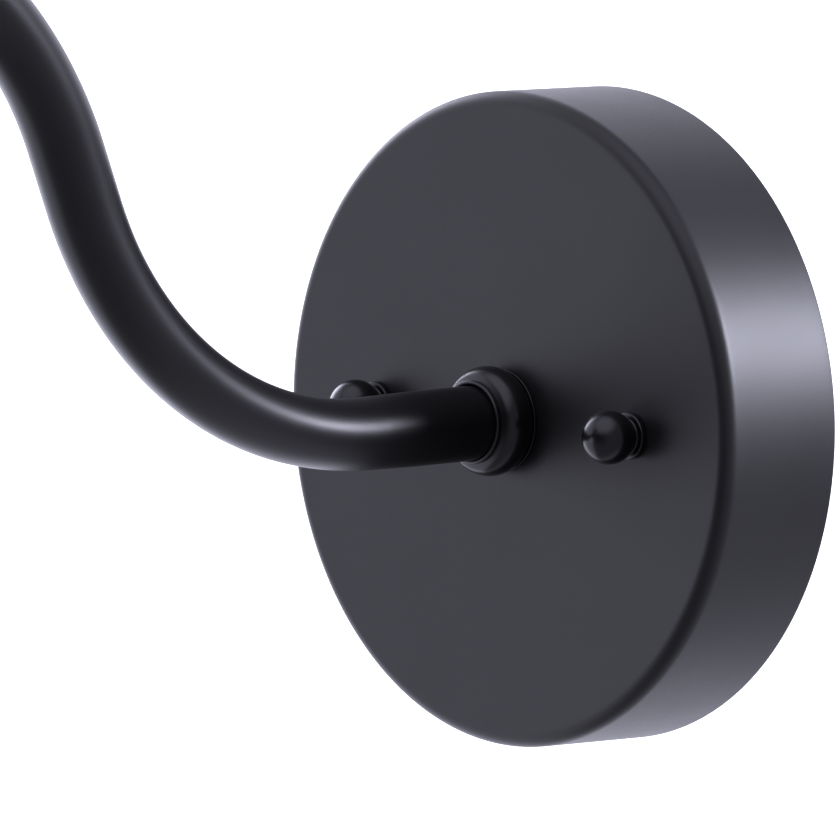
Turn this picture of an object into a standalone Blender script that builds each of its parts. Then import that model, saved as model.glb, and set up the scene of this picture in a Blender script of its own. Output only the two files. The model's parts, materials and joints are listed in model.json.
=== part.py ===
"""Wall-mounted picture light: round canopy, bent tube arm and a tilting half-round shade with two lamps.

Frame: the origin is the centre of the canopy's back plane on the wall. The wall is the plane Y = 0, the room
is towards -Y, +Z is up and +X is to the right for someone facing the wall. Lengths are in metres.
"""

import math

import bmesh
import bpy
from mathutils import Matrix, Vector

GAP = 0.0003                      # clearance between pieces that touch

# Canopy: a deep drawn pan
CANOPY_RADIUS = 0.065
CANOPY_DEPTH = 0.029
CANOPY_SHEET = 0.0012
CANOPY_EDGE = 0.003               # radius of the rounded front edge
STUD_SPREAD = 0.0375              # stud centre to canopy centre
STUD_RADIUS = 0.0020
STUD_CLEAR = 0.0023               # radius of a hole that a stud passes
BALL_RADIUS = 0.0053
BALL_REACH = 0.0056               # ball centre in front of its seat
BALL_NECK = 0.0034
BALL_FOOT = 0.0046
BALL_BORE_DEPTH = 0.0073

# Straps behind the canopy
STRAP_WIDTH = 0.020
STRAP_SHEET = 0.0020
BOX_STRAP_LENGTH = 0.104
BOX_SLOT_SPREAD = 0.04245         # slot centre to strap centre; a 4 inch box has its screws 44.45 mm out
BOX_SLOT_RADIUS = 0.0025
BOX_SLOT_TRAVEL = 0.0030
FIXTURE_STRAP_LENGTH = 0.092
WIRE_HOLE = 0.0065
WIRE_HOLE_RIM = 0.0083
GROUND_X = -0.020
GROUND_SCREW_RADIUS = 0.0017
GROUND_HEAD_RADIUS = 0.0036
LOCKNUT_FLATS = 0.007
LOCKNUT_HEIGHT = 0.0032

# Arm: a tube bent twice on one die, in the plane X = 0
TUBE_RADIUS = 0.00715
TUBE_WALL = 0.0010
BEND_RADIUS = 0.077
STUB_LENGTH = 0.0354
STUB_DROP = math.radians(1.2)     # the stub leaves the wall slightly downwards
RISE_ANGLE = math.radians(67.6)   # steepest slope, between the two bends
RISE_LENGTH = 0.0123
END_DROP = math.radians(45.0)     # slope of the outer end, downwards
END_LENGTH = 0.012
POINT_STEP = 0.0095               # distance between points on a bend

# Collar and threaded nipple at the wall end of the arm
COLLAR_CORE = 0.0084              # radius that the broad bead stands on
COLLAR_BEAD = 0.0025              # how far the bead stands out
COLLAR_BEAD_HALF = 0.0036         # half of the bead's length along the tube
COLLAR_FOOT = 0.0102
COLLAR_RING = 0.0005              # radius of the fine ring's rounded edge
COLLAR_LENGTH = 0.0086
NIPPLE_RADIUS = 0.0050
NIPPLE_BORE = 0.0036
NIPPLE_PLUG = 0.0055              # radius of the end that is held in the tube
NIPPLE_PLUG_LENGTH = 0.013
NIPPLE_INNER_END = 0.0185
LOCK_WASHER_RADIUS = 0.0086
LOCK_WASHER_SHEET = 0.0012
NIPPLE_NUT_FLATS = 0.014
NIPPLE_NUT_HEIGHT = 0.0034

# Knuckle between the arm and the shade
PIVOT_OFFSET = 0.014              # pivot axis beyond the tube's end
PIVOT_RADIUS = 0.0020
KNUCKLE_RADIUS = 0.0085
SLEEVE_WALL = 0.0014
SLEEVE_LENGTH = 0.0080            # how far the sleeve reaches up the tube
SLEEVE_FLOOR = 0.0047             # from the tube's end to the sleeve's rounded bottom
TONGUE_HALF = 0.0025
WASHER_SHEET = 0.0008
EAR_SHEET = 0.0030
BRIDGE_TOP = -0.0099              # below the pivot, in the head's own frame
BRIDGE_SHEET = 0.0024
BRIDGE_HALF_LENGTH = 0.015
BRIDGE_HALF_WIDTH = 0.007
FORK_SCREW_SPREAD = 0.0107
FORK_SCREW_RADIUS = 0.0015
FORK_SCREW_CLEAR = 0.0018
FORK_NUT_FLATS = 0.0055
FORK_NUT_HEIGHT = 0.0024
KNOB_RADIUS = 0.0064
KNOB_LENGTH = 0.0095

# Head: shade, lamps and their holders
HEAD_TILT = math.radians(12.0)    # the light leans this far from straight down towards the wall at rest
SHADE_RADIUS = 0.030
SHADE_SHEET = 0.0009
SHADE_HALF_LENGTH = 0.098
SHADE_SKIRT = 0.010               # straight side below the half round
SHADE_LIP = 0.003                 # in-turned lower edge
SHADE_AXIS_Z = BRIDGE_TOP - BRIDGE_SHEET - GAP - SHADE_RADIUS
CAP_SHEET = 0.0009
CAP_FLANGE = 0.006
REFLECTOR_SHEET = 0.0005
REFLECTOR_HALF_LENGTH = 0.090
REFLECTOR_SPREAD = math.radians(72.0)
BRACKET_SHEET = 0.0016
BRACKET_HALF_WIDTH = 0.006
LAMP_AXIS_Z = SHADE_AXIS_Z + 0.0015
SOCKET_RADIUS = 0.0095
SOCKET_BORE = 0.0070
SOCKET_LENGTH = 0.026
SHELL_WALL = 0.0004
LAMP_BASE_RADIUS = 0.00595        # E12 screw base
BULB_RADIUS = 0.0098
BULB_WALL = 0.0008
BULB_REACH = 0.088                # rounded end of the bulb, from the middle of the head

LEAD_RADIUS = 0.0010
LEAD_SPREAD = 0.0014              # half distance between the two leads
WIRE_NUT_LENGTH = 0.020

TO_ROOM = Matrix.Rotation(math.radians(90), 4, "X")     # local +Z becomes -Y, out of the wall
TO_RIGHT = Matrix.Rotation(math.radians(90), 4, "Y")    # local +Z becomes +X
TO_LEFT = Matrix.Rotation(math.radians(-90), 4, "Y")    # local +Z becomes -X
UPRIGHT = Matrix.Rotation(math.radians(90), 4, "Z") @ TO_ROOM    # local X becomes Y, and local Y becomes Z


def start_collection(name):
    """A new collection linked to the scene."""
    collection = bpy.data.collections.new(name)
    bpy.context.scene.collection.children.link(collection)
    return collection


def make_material(name, colour, roughness, metallic=0.0, alpha=1.0):
    """A Principled material."""
    material = bpy.data.materials.new(name)
    material.use_nodes = True
    shader = material.node_tree.nodes["Principled BSDF"]
    shader.inputs["Base Color"].default_value = (*colour, 1.0)
    shader.inputs["Roughness"].default_value = roughness
    shader.inputs["Metallic"].default_value = metallic
    shader.inputs["Alpha"].default_value = alpha
    return material


def place(obj, matrix, parent=None, collection=None):
    """Puts obj in the parts collection, at matrix in its parent's frame."""
    (collection or PARTS).objects.link(obj)
    obj.parent = parent
    obj.matrix_basis = matrix
    return obj


def shade_round(mesh):
    """Smooth shading, with creases kept sharp."""
    mesh.shade_smooth()
    mesh.set_sharp_from_angle(angle=math.radians(35))


def arc(centre, radius, start, end, count):
    """Points on an arc, with the angles in radians and both ends included."""
    steps = [start + (end - start) * i / (count - 1) for i in range(count)]
    return [(centre[0] + radius * math.cos(a), centre[1] + radius * math.sin(a)) for a in steps]


def turned(name, profile, look, matrix, parent=None, steps=32, collection=None):
    """A solid of revolution about local Z. The profile is (radius, z), and runs down its outer side.

    A profile that starts and ends on the axis is a solid; any other is closed into a ring."""
    mesh = bpy.data.meshes.new(name)
    build = bmesh.new()
    corners = [build.verts.new((radius, 0.0, z)) for radius, z in profile]
    for first, second in zip(corners, corners[1:]):
        build.edges.new((first, second))
    if profile[0][0] > 0:
        build.edges.new((corners[-1], corners[0]))
    build.to_mesh(mesh)
    build.free()
    obj = place(bpy.data.objects.new(name, mesh), matrix, parent, collection)
    screw = obj.modifiers.new("turn", "SCREW")
    screw.steps = steps
    screw.render_steps = steps
    screw.use_merge_vertices = True
    screw.merge_threshold = 0.00005
    screw.use_smooth_shade = True
    obj.data.materials.append(look)
    return obj


def flat(name, outlines, thickness, look, matrix, parent=None):
    """A plate of that thickness about local Z = 0. The first outline is its edge, the others are holes."""
    curve = bpy.data.curves.new(name, "CURVE")
    curve.dimensions = "2D"
    curve.fill_mode = "BOTH"
    curve.extrude = thickness / 2
    for outline in outlines:
        spline = curve.splines.new("POLY")
        spline.points.add(len(outline) - 1)
        for point, (x, y) in zip(spline.points, outline):
            point.co = (x, y, 0.0, 1.0)
        spline.use_cyclic_u = True
    curve.materials.append(look)
    return place(bpy.data.objects.new(name, curve), matrix, parent)


def circle(x, y, radius, count=16):
    """A round outline."""
    return arc((x, y), radius, 0.0, 2 * math.pi * (count - 1) / count, count)


def slot(x, y, radius, half_travel):
    """A slot outline along the outline's X axis."""
    right = arc((x + half_travel, y), radius, -math.pi / 2, math.pi / 2, 7)
    left = arc((x - half_travel, y), radius, math.pi / 2, 3 * math.pi / 2, 7)
    return right + left


def rectangle(half_x, half_y):
    """A rectangular outline about the origin."""
    return [(-half_x, -half_y), (half_x, -half_y), (half_x, half_y), (-half_x, half_y)]


def wire(name, points, radius, look, parent=None, resolution=2, caps=True):
    """A round bar or lead along the points."""
    curve = bpy.data.curves.new(name, "CURVE")
    curve.dimensions = "3D"
    curve.bevel_depth = radius
    curve.bevel_resolution = resolution
    curve.use_fill_caps = caps
    spline = curve.splines.new("POLY")
    spline.points.add(len(points) - 1)
    for point, place_at in zip(spline.points, points):
        point.co = (*place_at, 1.0)
    curve.materials.append(look)
    return place(bpy.data.objects.new(name, curve), Matrix(), parent)


def as_mesh(obj):
    """Replaces an object by the mesh it evaluates to, with its loose caps welded."""
    bpy.context.view_layer.update()
    name = obj.name
    graph = bpy.context.evaluated_depsgraph_get()
    mesh = bpy.data.meshes.new_from_object(obj.evaluated_get(graph))
    build = bmesh.new()
    build.from_mesh(mesh)
    bmesh.ops.remove_doubles(build, verts=build.verts, dist=0.00001)
    build.to_mesh(mesh)
    build.free()
    shade_round(mesh)
    collection, parent, matrix = obj.users_collection[0], obj.parent, obj.matrix_basis.copy()
    bpy.data.objects.remove(obj)
    mesh.name = name
    return place(bpy.data.objects.new(name, mesh), matrix, parent, collection)


def combine(obj, others, operation):
    """Joins the others to obj, or cuts them from it, with Boolean modifiers."""
    for other in others:
        if other.name not in CUTTERS.objects:
            PARTS.objects.unlink(other)
            CUTTERS.objects.link(other)
        other.display_type = "WIRE"
        other.hide_render = True
        modifier = obj.modifiers.new(operation.lower(), "BOOLEAN")
        modifier.operation = operation
        modifier.solver = "EXACT"
        modifier.object = other
    return obj


def drill(name, radius, low, high, matrix, parent=None):
    """A round cutter along local Z, from low to high."""
    profile = [(0.0, high), (radius, high), (radius, low), (0.0, low)]
    return turned(name, profile, LOOKS["steel"], matrix, parent, steps=20, collection=CUTTERS)


def catmull(points, per_span):
    """A smooth curve through the points, sampled per_span times between neighbours."""
    nodes = [Vector(p) for p in points]
    nodes = [2 * nodes[0] - nodes[1], *nodes, 2 * nodes[-1] - nodes[-2]]
    found = []
    for i in range(1, len(nodes) - 2):
        before, start, end, after = nodes[i - 1:i + 3]
        for step in range(per_span):
            t = step / per_span
            found.append(0.5 * (2 * start + (end - before) * t
                                + (2 * before - 5 * start + 4 * end - after) * t ** 2
                                + (3 * start - before - 3 * end + after) * t ** 3))
    return found + [nodes[-2]]


def arm_points():
    """The arm's centreline from the canopy to the tube's outer end: stub, bend up, rise, bend over, end."""
    points = [Vector((0.0, -CANOPY_DEPTH - 2 * GAP, 0.0))]
    slope = -STUB_DROP

    def run(length, turn):
        nonlocal slope
        count = max(1, round(length / POINT_STEP)) if turn else 1
        for _ in range(count):
            middle = slope + turn / count / 2
            chord = length / count
            if turn:
                chord = 2 * BEND_RADIUS * math.sin(abs(turn) / count / 2)
            points.append(points[-1] + chord * Vector((0.0, -math.cos(middle), math.sin(middle))))
            slope += turn / count

    run(STUB_LENGTH, 0.0)
    run(BEND_RADIUS * (RISE_ANGLE + STUB_DROP), RISE_ANGLE + STUB_DROP)
    run(RISE_LENGTH, 0.0)
    run(BEND_RADIUS * (RISE_ANGLE + END_DROP), -RISE_ANGLE - END_DROP)
    run(END_LENGTH, 0.0)
    return points


def hexagon(across_flats):
    """A hexagonal outline."""
    return circle(0.0, 0.0, across_flats / math.sqrt(3), 6)


def in_wall_frame(x, z, depth):
    """A matrix at (x, z) on the wall plane, depth metres into the room, with local +Z into the room."""
    return Matrix.Translation((x, -depth, z)) @ TO_ROOM


def build_canopy():
    """The drawn pan, with a hole for the nipple and one for each stud."""
    front, edge, sheet = CANOPY_DEPTH, CANOPY_EDGE, CANOPY_SHEET
    corner = (CANOPY_RADIUS - edge, front - edge)
    profile = [(NIPPLE_RADIUS + 0.0004, front)]
    profile += arc(corner, edge, math.pi / 2, 0.0, 6)
    profile += [(CANOPY_RADIUS, 0.0), (CANOPY_RADIUS - sheet, 0.0)]
    profile += arc(corner, edge - sheet, 0.0, math.pi / 2, 4)
    profile += [(NIPPLE_RADIUS + 0.0004, front - sheet)]
    canopy = turned("canopy", profile, LOOKS["black"], TO_ROOM, steps=56)
    holes = [
        drill(f"canopy_stud_cut_{side}", STUD_CLEAR + GAP, 0.020, 0.040, in_wall_frame(x, 0.0, 0.0))
        for side, x in SIDES
    ]
    combine(canopy, holes, "DIFFERENCE")


def build_straps():
    """The box strap upright on the wall, the fixture strap across it, and the eyelet that joins them."""
    upright = [
        rectangle(STRAP_WIDTH / 2, BOX_STRAP_LENGTH / 2),
        circle(0.0, 0.0, WIRE_HOLE + GAP),
    ]
    for side in (-1, 1):
        stadium = slot(side * BOX_SLOT_SPREAD, 0.0, BOX_SLOT_RADIUS, BOX_SLOT_TRAVEL)
        upright.append([(y, x) for x, y in stadium])
    flat("box_strap", upright, STRAP_SHEET, LOOKS["zinc"], in_wall_frame(0.0, 0.0, STRAP_SHEET / 2))

    level = [
        rectangle(FIXTURE_STRAP_LENGTH / 2, STRAP_WIDTH / 2),
        circle(0.0, 0.0, WIRE_HOLE + GAP),
        circle(GROUND_X, 0.0, GROUND_SCREW_RADIUS + GAP, 12),
        circle(-STUD_SPREAD, 0.0, STUD_CLEAR, 12),
        circle(STUD_SPREAD, 0.0, STUD_CLEAR, 12),
    ]
    level_depth = STRAP_SHEET + GAP
    centre = in_wall_frame(0.0, 0.0, level_depth + STRAP_SHEET / 2)
    flat("fixture_strap", level, STRAP_SHEET, LOOKS["zinc"], centre)

    top = level_depth + STRAP_SHEET + GAP
    bore = WIRE_HOLE - 0.0010
    profile = [
        (bore, top + 0.0008), (WIRE_HOLE_RIM, top + 0.0008), (WIRE_HOLE_RIM, top), (WIRE_HOLE, top),
        (WIRE_HOLE, 0.0), (bore, 0.0),
    ]
    turned("strap_eyelet", profile, LOOKS["brass"], TO_ROOM, steps=24)
    return top


def build_fasteners(strap_front):
    """Studs with their locknuts and ball nuts, and the green ground screw."""
    stud_end = CANOPY_DEPTH + 0.0070
    for side, x in SIDES:
        stud = [(0.0, stud_end), (STUD_RADIUS, stud_end), (STUD_RADIUS, 0.0008), (0.0, 0.0008)]
        turned(f"stud_{side}", stud, LOOKS["zinc"], in_wall_frame(x, 0.0, 0.0), steps=16)
        locknut = [hexagon(LOCKNUT_FLATS), circle(0.0, 0.0, STUD_CLEAR, 12)]
        matrix = in_wall_frame(x, 0.0, strap_front + LOCKNUT_HEIGHT / 2)
        flat(f"stud_locknut_{side}", locknut, LOCKNUT_HEIGHT, LOOKS["zinc"], matrix)
        build_ball_nut(f"ball_nut_{side}", x)

    head = strap_front + 0.0024
    screw = [
        (0.0, head), (0.0024, head), (GROUND_HEAD_RADIUS, head - 0.0008), (GROUND_HEAD_RADIUS, strap_front),
        (GROUND_SCREW_RADIUS, strap_front), (GROUND_SCREW_RADIUS, 0.0024), (0.0, 0.0024),
    ]
    turned("ground_screw", screw, LOOKS["green"], in_wall_frame(GROUND_X, 0.0, 0.0), steps=16)


def build_ball_nut(name, x):
    """A ball on a short neck and a round foot, with a blind threaded hole."""
    seat = CANOPY_DEPTH + GAP
    centre = (0.0, seat + BALL_REACH)
    bottom = -math.acos(BALL_NECK / BALL_RADIUS)
    inner_end = seat + BALL_BORE_DEPTH
    profile = arc(centre, BALL_RADIUS, math.pi / 2, bottom, 9)
    profile[0] = (0.0, centre[1] + BALL_RADIUS)
    profile += [(BALL_NECK, seat + 0.0014), (BALL_FOOT, seat + 0.0010), (BALL_FOOT, seat)]
    profile += [(STUD_CLEAR, seat), (STUD_CLEAR, inner_end), (0.0, inner_end)]
    turned(name, profile, LOOKS["gloss_black"], in_wall_frame(x, 0.0, 0.0), steps=18)


def build_collar():
    """The collar round the tube, a fine ring on a broad bead, with the nipple and its nut behind it."""
    seat = CANOPY_DEPTH + GAP
    bore = TUBE_RADIUS + GAP
    front = seat + COLLAR_LENGTH
    ring_centre = (bore + COLLAR_RING, front - COLLAR_RING)
    profile = [(bore, front)]
    profile += arc(ring_centre, COLLAR_RING, math.radians(80), math.radians(-30), 4)
    for wide, along in arc((0.0, 0.0), 1.0, math.radians(74), math.radians(-56), 7):
        bead_along = seat + COLLAR_BEAD_HALF * (1 + along)
        profile.append((COLLAR_CORE + COLLAR_BEAD * wide, bead_along))
    profile += [(COLLAR_FOOT, seat), (bore, seat)]
    turned("arm_collar", profile, LOOKS["gloss_black"], TO_ROOM, steps=32)

    plug_end = CANOPY_DEPTH + NIPPLE_PLUG_LENGTH
    nipple = [
        (NIPPLE_BORE, plug_end), (NIPPLE_PLUG, plug_end), (NIPPLE_PLUG, seat),
        (NIPPLE_RADIUS, seat), (NIPPLE_RADIUS, NIPPLE_INNER_END), (NIPPLE_BORE, NIPPLE_INNER_END),
    ]
    turned("arm_nipple", nipple, LOOKS["zinc"], TO_ROOM, steps=24)

    washer_top = CANOPY_DEPTH - CANOPY_SHEET - GAP
    washer_low = washer_top - LOCK_WASHER_SHEET
    clear = NIPPLE_RADIUS + GAP
    washer = [
        (clear, washer_top), (LOCK_WASHER_RADIUS, washer_top),
        (LOCK_WASHER_RADIUS, washer_low), (clear, washer_low),
    ]
    turned("nipple_lock_washer", washer, LOOKS["zinc"], TO_ROOM, steps=24)
    nut_middle = washer_low - GAP - NIPPLE_NUT_HEIGHT / 2
    nut = [hexagon(NIPPLE_NUT_FLATS), circle(0.0, 0.0, clear)]
    flat("nipple_hex_nut", nut, NIPPLE_NUT_HEIGHT, LOOKS["zinc"], in_wall_frame(0.0, 0.0, nut_middle))


def build_arm(points):
    """The bent tube: an open surface along the centreline, thickened inwards."""
    tube = as_mesh(wire("arm_tube", points, TUBE_RADIUS, LOOKS["black"], resolution=6, caps=False))
    shell = tube.modifiers.new("wall", "SOLIDIFY")
    shell.thickness = TUBE_WALL
    shell.offset = -1.0
    return tube


def build_leads(points):
    """Live and neutral from their wire nuts up the arm, and the ground lead inside the canopy."""
    for side, x in (("live", 1), ("neutral", -1)):
        offset = Vector((x * LEAD_SPREAD, 0.0, 0.0))
        in_canopy = [
            (x * 0.023, -0.014, -0.024), (x * 0.015, -0.014, -0.0235), (x * 0.008, -0.012, -0.018),
            (x * 0.0035, -0.011, -0.008), (x * LEAD_SPREAD, -0.0145, -0.001), (x * LEAD_SPREAD, -0.022, 0.0),
        ]
        route = catmull(in_canopy, 4) + [p + offset for p in points]
        wire(f"lead_{side}", route, LEAD_RADIUS, LOOKS[side])
        build_wire_nut(f"wire_nut_{side}", Vector((x * 0.016, -0.014, -0.024)), TO_RIGHT if x > 0 else TO_LEFT)

    beside_screw = GROUND_X + 0.0050
    route = [
        (beside_screw, -0.0060, 0.0), (beside_screw, -0.0075, 0.008), (-0.012, -0.012, 0.017),
        (-0.006, -0.0145, 0.0245), (0.002, -0.015, 0.026), (0.010, -0.015, 0.026),
    ]
    wire("lead_ground", catmull(route, 5), LEAD_RADIUS, LOOKS["green"])
    build_wire_nut("wire_nut_ground", Vector((0.003, -0.015, 0.026)), TO_RIGHT)


def build_wire_nut(name, mouth, turn):
    """A tapered plastic cap, open where the lead goes in."""
    length = WIRE_NUT_LENGTH
    profile = [
        (0.0, length), (0.0028, length), (0.0036, length - 0.0010), (0.0054, 0.0030), (0.0054, 0.0),
        (0.0034, 0.0), (0.0022, length * 0.6), (0.0, length * 0.6),
    ]
    turned(name, profile, LOOKS["orange"], Matrix.Translation(mouth) @ turn, steps=16)


def build_knuckle_base(parent):
    """The tongue of the knuckle on a sleeve over the tube's end. Local +Z runs back up the arm."""
    shoulder = PIVOT_OFFSET - GAP
    low = PIVOT_OFFSET - SLEEVE_FLOOR
    high = PIVOT_OFFSET + SLEEVE_LENGTH
    outer = TUBE_RADIUS + SLEEVE_WALL
    profile = [
        (TUBE_RADIUS + GAP, high), (outer, high), (outer, low + 0.0015), (outer - 0.0015, low),
        (NIPPLE_BORE, low), (NIPPLE_BORE, shoulder), (TUBE_RADIUS + GAP, shoulder),
    ]
    sleeve = as_mesh(turned("knuckle_base", profile, LOOKS["gloss_black"], Matrix(), parent, steps=28))
    top = low + 0.0010
    outline = arc((0.0, 0.0), KNUCKLE_RADIUS, math.pi, 2 * math.pi, 13)
    outline += [(KNUCKLE_RADIUS - 0.002, top), (-KNUCKLE_RADIUS + 0.002, top)]
    tongue = as_mesh(
        flat("tongue_join", [outline, circle(0.0, 0.0, PIVOT_RADIUS + GAP)], 2 * TONGUE_HALF,
             LOOKS["gloss_black"], UPRIGHT, parent)
    )
    combine(sleeve, [tongue], "UNION")


def build_knuckle(head):
    """The fork on the shade, its pivot screw and washers, the thumb knob, and the screws that hold it."""
    inner = TONGUE_HALF + WASHER_SHEET + 2 * GAP
    outer = inner + EAR_SHEET
    centre_z = BRIDGE_TOP - BRIDGE_SHEET / 2
    holes = [circle(x, 0.0, FORK_SCREW_CLEAR, 12) for x in (-FORK_SCREW_SPREAD, FORK_SCREW_SPREAD)]
    bridge = as_mesh(
        flat("knuckle_fork", [rectangle(BRIDGE_HALF_LENGTH, BRIDGE_HALF_WIDTH), *holes], BRIDGE_SHEET,
             LOOKS["gloss_black"], Matrix.Translation((0.0, 0.0, centre_z)), head)
    )
    outline = arc((0.0, 0.0), KNUCKLE_RADIUS, 0.0, math.pi, 13)
    foot = BRIDGE_HALF_WIDTH - 0.0005
    outline += [(-foot, BRIDGE_TOP - 0.001), (foot, BRIDGE_TOP - 0.001)]
    ears = []
    for side in (-1, 1):
        middle = Matrix.Translation((side * (inner + outer) / 2, 0.0, 0.0)) @ UPRIGHT
        ears.append(as_mesh(
            flat(f"ear_join_{side + 2}", [outline, circle(0.0, 0.0, PIVOT_RADIUS + GAP)], EAR_SHEET,
                 LOOKS["gloss_black"], middle, head)
        ))
        shift = Matrix.Translation((side * (TONGUE_HALF + GAP + WASHER_SHEET / 2), 0.0, 0.0)) @ UPRIGHT
        ring = [circle(0.0, 0.0, KNUCKLE_RADIUS - 0.0012, 24), circle(0.0, 0.0, PIVOT_RADIUS + GAP)]
        name = "friction_washer_" + ("left" if side < 0 else "right")
        flat(name, ring, WASHER_SHEET, LOOKS["fibre"], shift, head)
    combine(bridge, ears, "UNION")

    seat = outer + GAP
    end = seat + KNOB_LENGTH - 0.0025
    screw = [
        (0.0, end), (PIVOT_RADIUS, end), (PIVOT_RADIUS, -seat), (0.0042, -seat),
        (0.0042, -seat - 0.0016), (0.0028, -seat - 0.0028), (0.0, -seat - 0.0028),
    ]
    turned("pivot_screw", screw, LOOKS["gloss_black"], TO_RIGHT, head, steps=20)
    bore = PIVOT_RADIUS + GAP
    knob = [
        (0.0, seat + KNOB_LENGTH), (KNOB_RADIUS - 0.0012, seat + KNOB_LENGTH),
        (KNOB_RADIUS, seat + KNOB_LENGTH - 0.0012), (KNOB_RADIUS, seat + 0.0030),
        (0.0048, seat + 0.0022), (0.0048, seat), (bore, seat),
        (bore, seat + KNOB_LENGTH - 0.0020), (0.0, seat + KNOB_LENGTH - 0.0020),
    ]
    turned("thumb_knob", knob, LOOKS["gloss_black"], TO_RIGHT, head, steps=28)


def build_shade(head):
    """The half-round shade with straight sides and in-turned lips, its end caps and the reflector in it."""
    low = SHADE_AXIS_Z - SHADE_SKIRT
    half_round = arc((0.0, SHADE_AXIS_Z), SHADE_RADIUS, 0.0, math.pi, 25)
    outline = [(SHADE_RADIUS - SHADE_LIP, low), (SHADE_RADIUS, low), *half_round]
    outline += [(-SHADE_RADIUS, low), (-SHADE_RADIUS + SHADE_LIP, low)]
    shade = trough("shade", outline, SHADE_HALF_LENGTH, SHADE_SHEET, LOOKS["black"], head)
    cuts = [
        drill(f"shade_screw_cut_{side}", FORK_SCREW_CLEAR, SHADE_AXIS_Z + 0.020, 0.0,
              Matrix.Translation((x, 0.0, 0.0)), head)
        for side, x in (("left", -FORK_SCREW_SPREAD), ("right", FORK_SCREW_SPREAD))
    ]
    cuts.append(drill("shade_grommet_cut", 0.0032, -0.006, 0.006, GROMMET, head))
    combine(shade, cuts, "DIFFERENCE")

    inner = SHADE_RADIUS - SHADE_SHEET - GAP
    cap_low = low + SHADE_SHEET + GAP
    cap_outline = [(inner, cap_low), *arc((0.0, SHADE_AXIS_Z), inner, 0.0, math.pi, 25), (-inner, cap_low)]
    for side, sign in (("left", -1), ("right", 1)):
        end_cap(f"end_cap_{side}", cap_outline, sign, head)

    first, last = math.pi / 2 - REFLECTOR_SPREAD, math.pi / 2 + REFLECTOR_SPREAD
    curve = arc((0.0, SHADE_AXIS_Z), inner - GAP, first, last, 19)
    reflector = trough("reflector", curve, REFLECTOR_HALF_LENGTH, REFLECTOR_SHEET, LOOKS["mirror"], head)
    cuts = [
        drill(f"reflector_screw_cut_{side}", FORK_SCREW_CLEAR, SHADE_AXIS_Z + 0.020, 0.0,
              Matrix.Translation((x, 0.0, 0.0)), head)
        for side, x in (("left", -FORK_SCREW_SPREAD), ("right", FORK_SCREW_SPREAD))
    ]
    cuts.append(drill("reflector_grommet_cut", 0.0052, -0.008, 0.006, GROMMET, head))
    combine(reflector, cuts, "DIFFERENCE")


def trough(name, outline, half_length, sheet, look, parent):
    """A sheet bent to the (y, z) outline, drawn out along X and thickened towards its inner side."""
    mesh = bpy.data.meshes.new(name)
    build = bmesh.new()
    corners = [build.verts.new((-half_length, y, z)) for y, z in outline]
    edges = [build.edges.new(pair) for pair in zip(corners, corners[1:])]
    made = bmesh.ops.extrude_edge_only(build, edges=edges)
    moved = [v for v in made["geom"] if isinstance(v, bmesh.types.BMVert)]
    bmesh.ops.translate(build, vec=(2 * half_length, 0.0, 0.0), verts=moved)
    outwards(build, Vector((0.0, 0.0, SHADE_AXIS_Z)))
    build.to_mesh(mesh)
    build.free()
    shade_round(mesh)
    mesh.materials.append(look)
    obj = place(bpy.data.objects.new(name, mesh), Matrix(), parent)
    shell = obj.modifiers.new("sheet", "SOLIDIFY")
    shell.thickness = sheet
    shell.offset = -1.0
    shell.use_even_offset = True
    return obj


def outwards(build, centre):
    """Turns the faces so that most of their area looks away from the centre."""
    build.normal_update()
    lean = sum(f.calc_area() * f.normal.dot(f.calc_center_median() - centre) for f in build.faces)
    if lean < 0:
        bmesh.ops.reverse_faces(build, faces=build.faces)


def end_cap(name, outline, sign, parent):
    """A shallow pan in the end of the shade: a face with a flange that points inwards."""
    mesh = bpy.data.meshes.new(name)
    build = bmesh.new()
    outer_x = sign * (SHADE_HALF_LENGTH - 0.0004)
    corners = [build.verts.new((outer_x, y, z)) for y, z in outline]
    build.faces.new(corners)
    made = bmesh.ops.extrude_edge_only(build, edges=build.edges[:])
    moved = [v for v in made["geom"] if isinstance(v, bmesh.types.BMVert)]
    bmesh.ops.translate(build, vec=(-sign * CAP_FLANGE, 0.0, 0.0), verts=moved)
    bmesh.ops.recalc_face_normals(build, faces=build.faces)
    outwards(build, Vector((outer_x - sign * CAP_FLANGE, 0.0, SHADE_AXIS_Z)))
    build.to_mesh(mesh)
    build.free()
    shade_round(mesh)
    mesh.materials.append(LOOKS["black"])
    obj = place(bpy.data.objects.new(name, mesh), Matrix(), parent)
    shell = obj.modifiers.new("sheet", "SOLIDIFY")
    shell.thickness = CAP_SHEET
    shell.offset = -1.0
    shell.use_even_offset = True
    return obj


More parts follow.
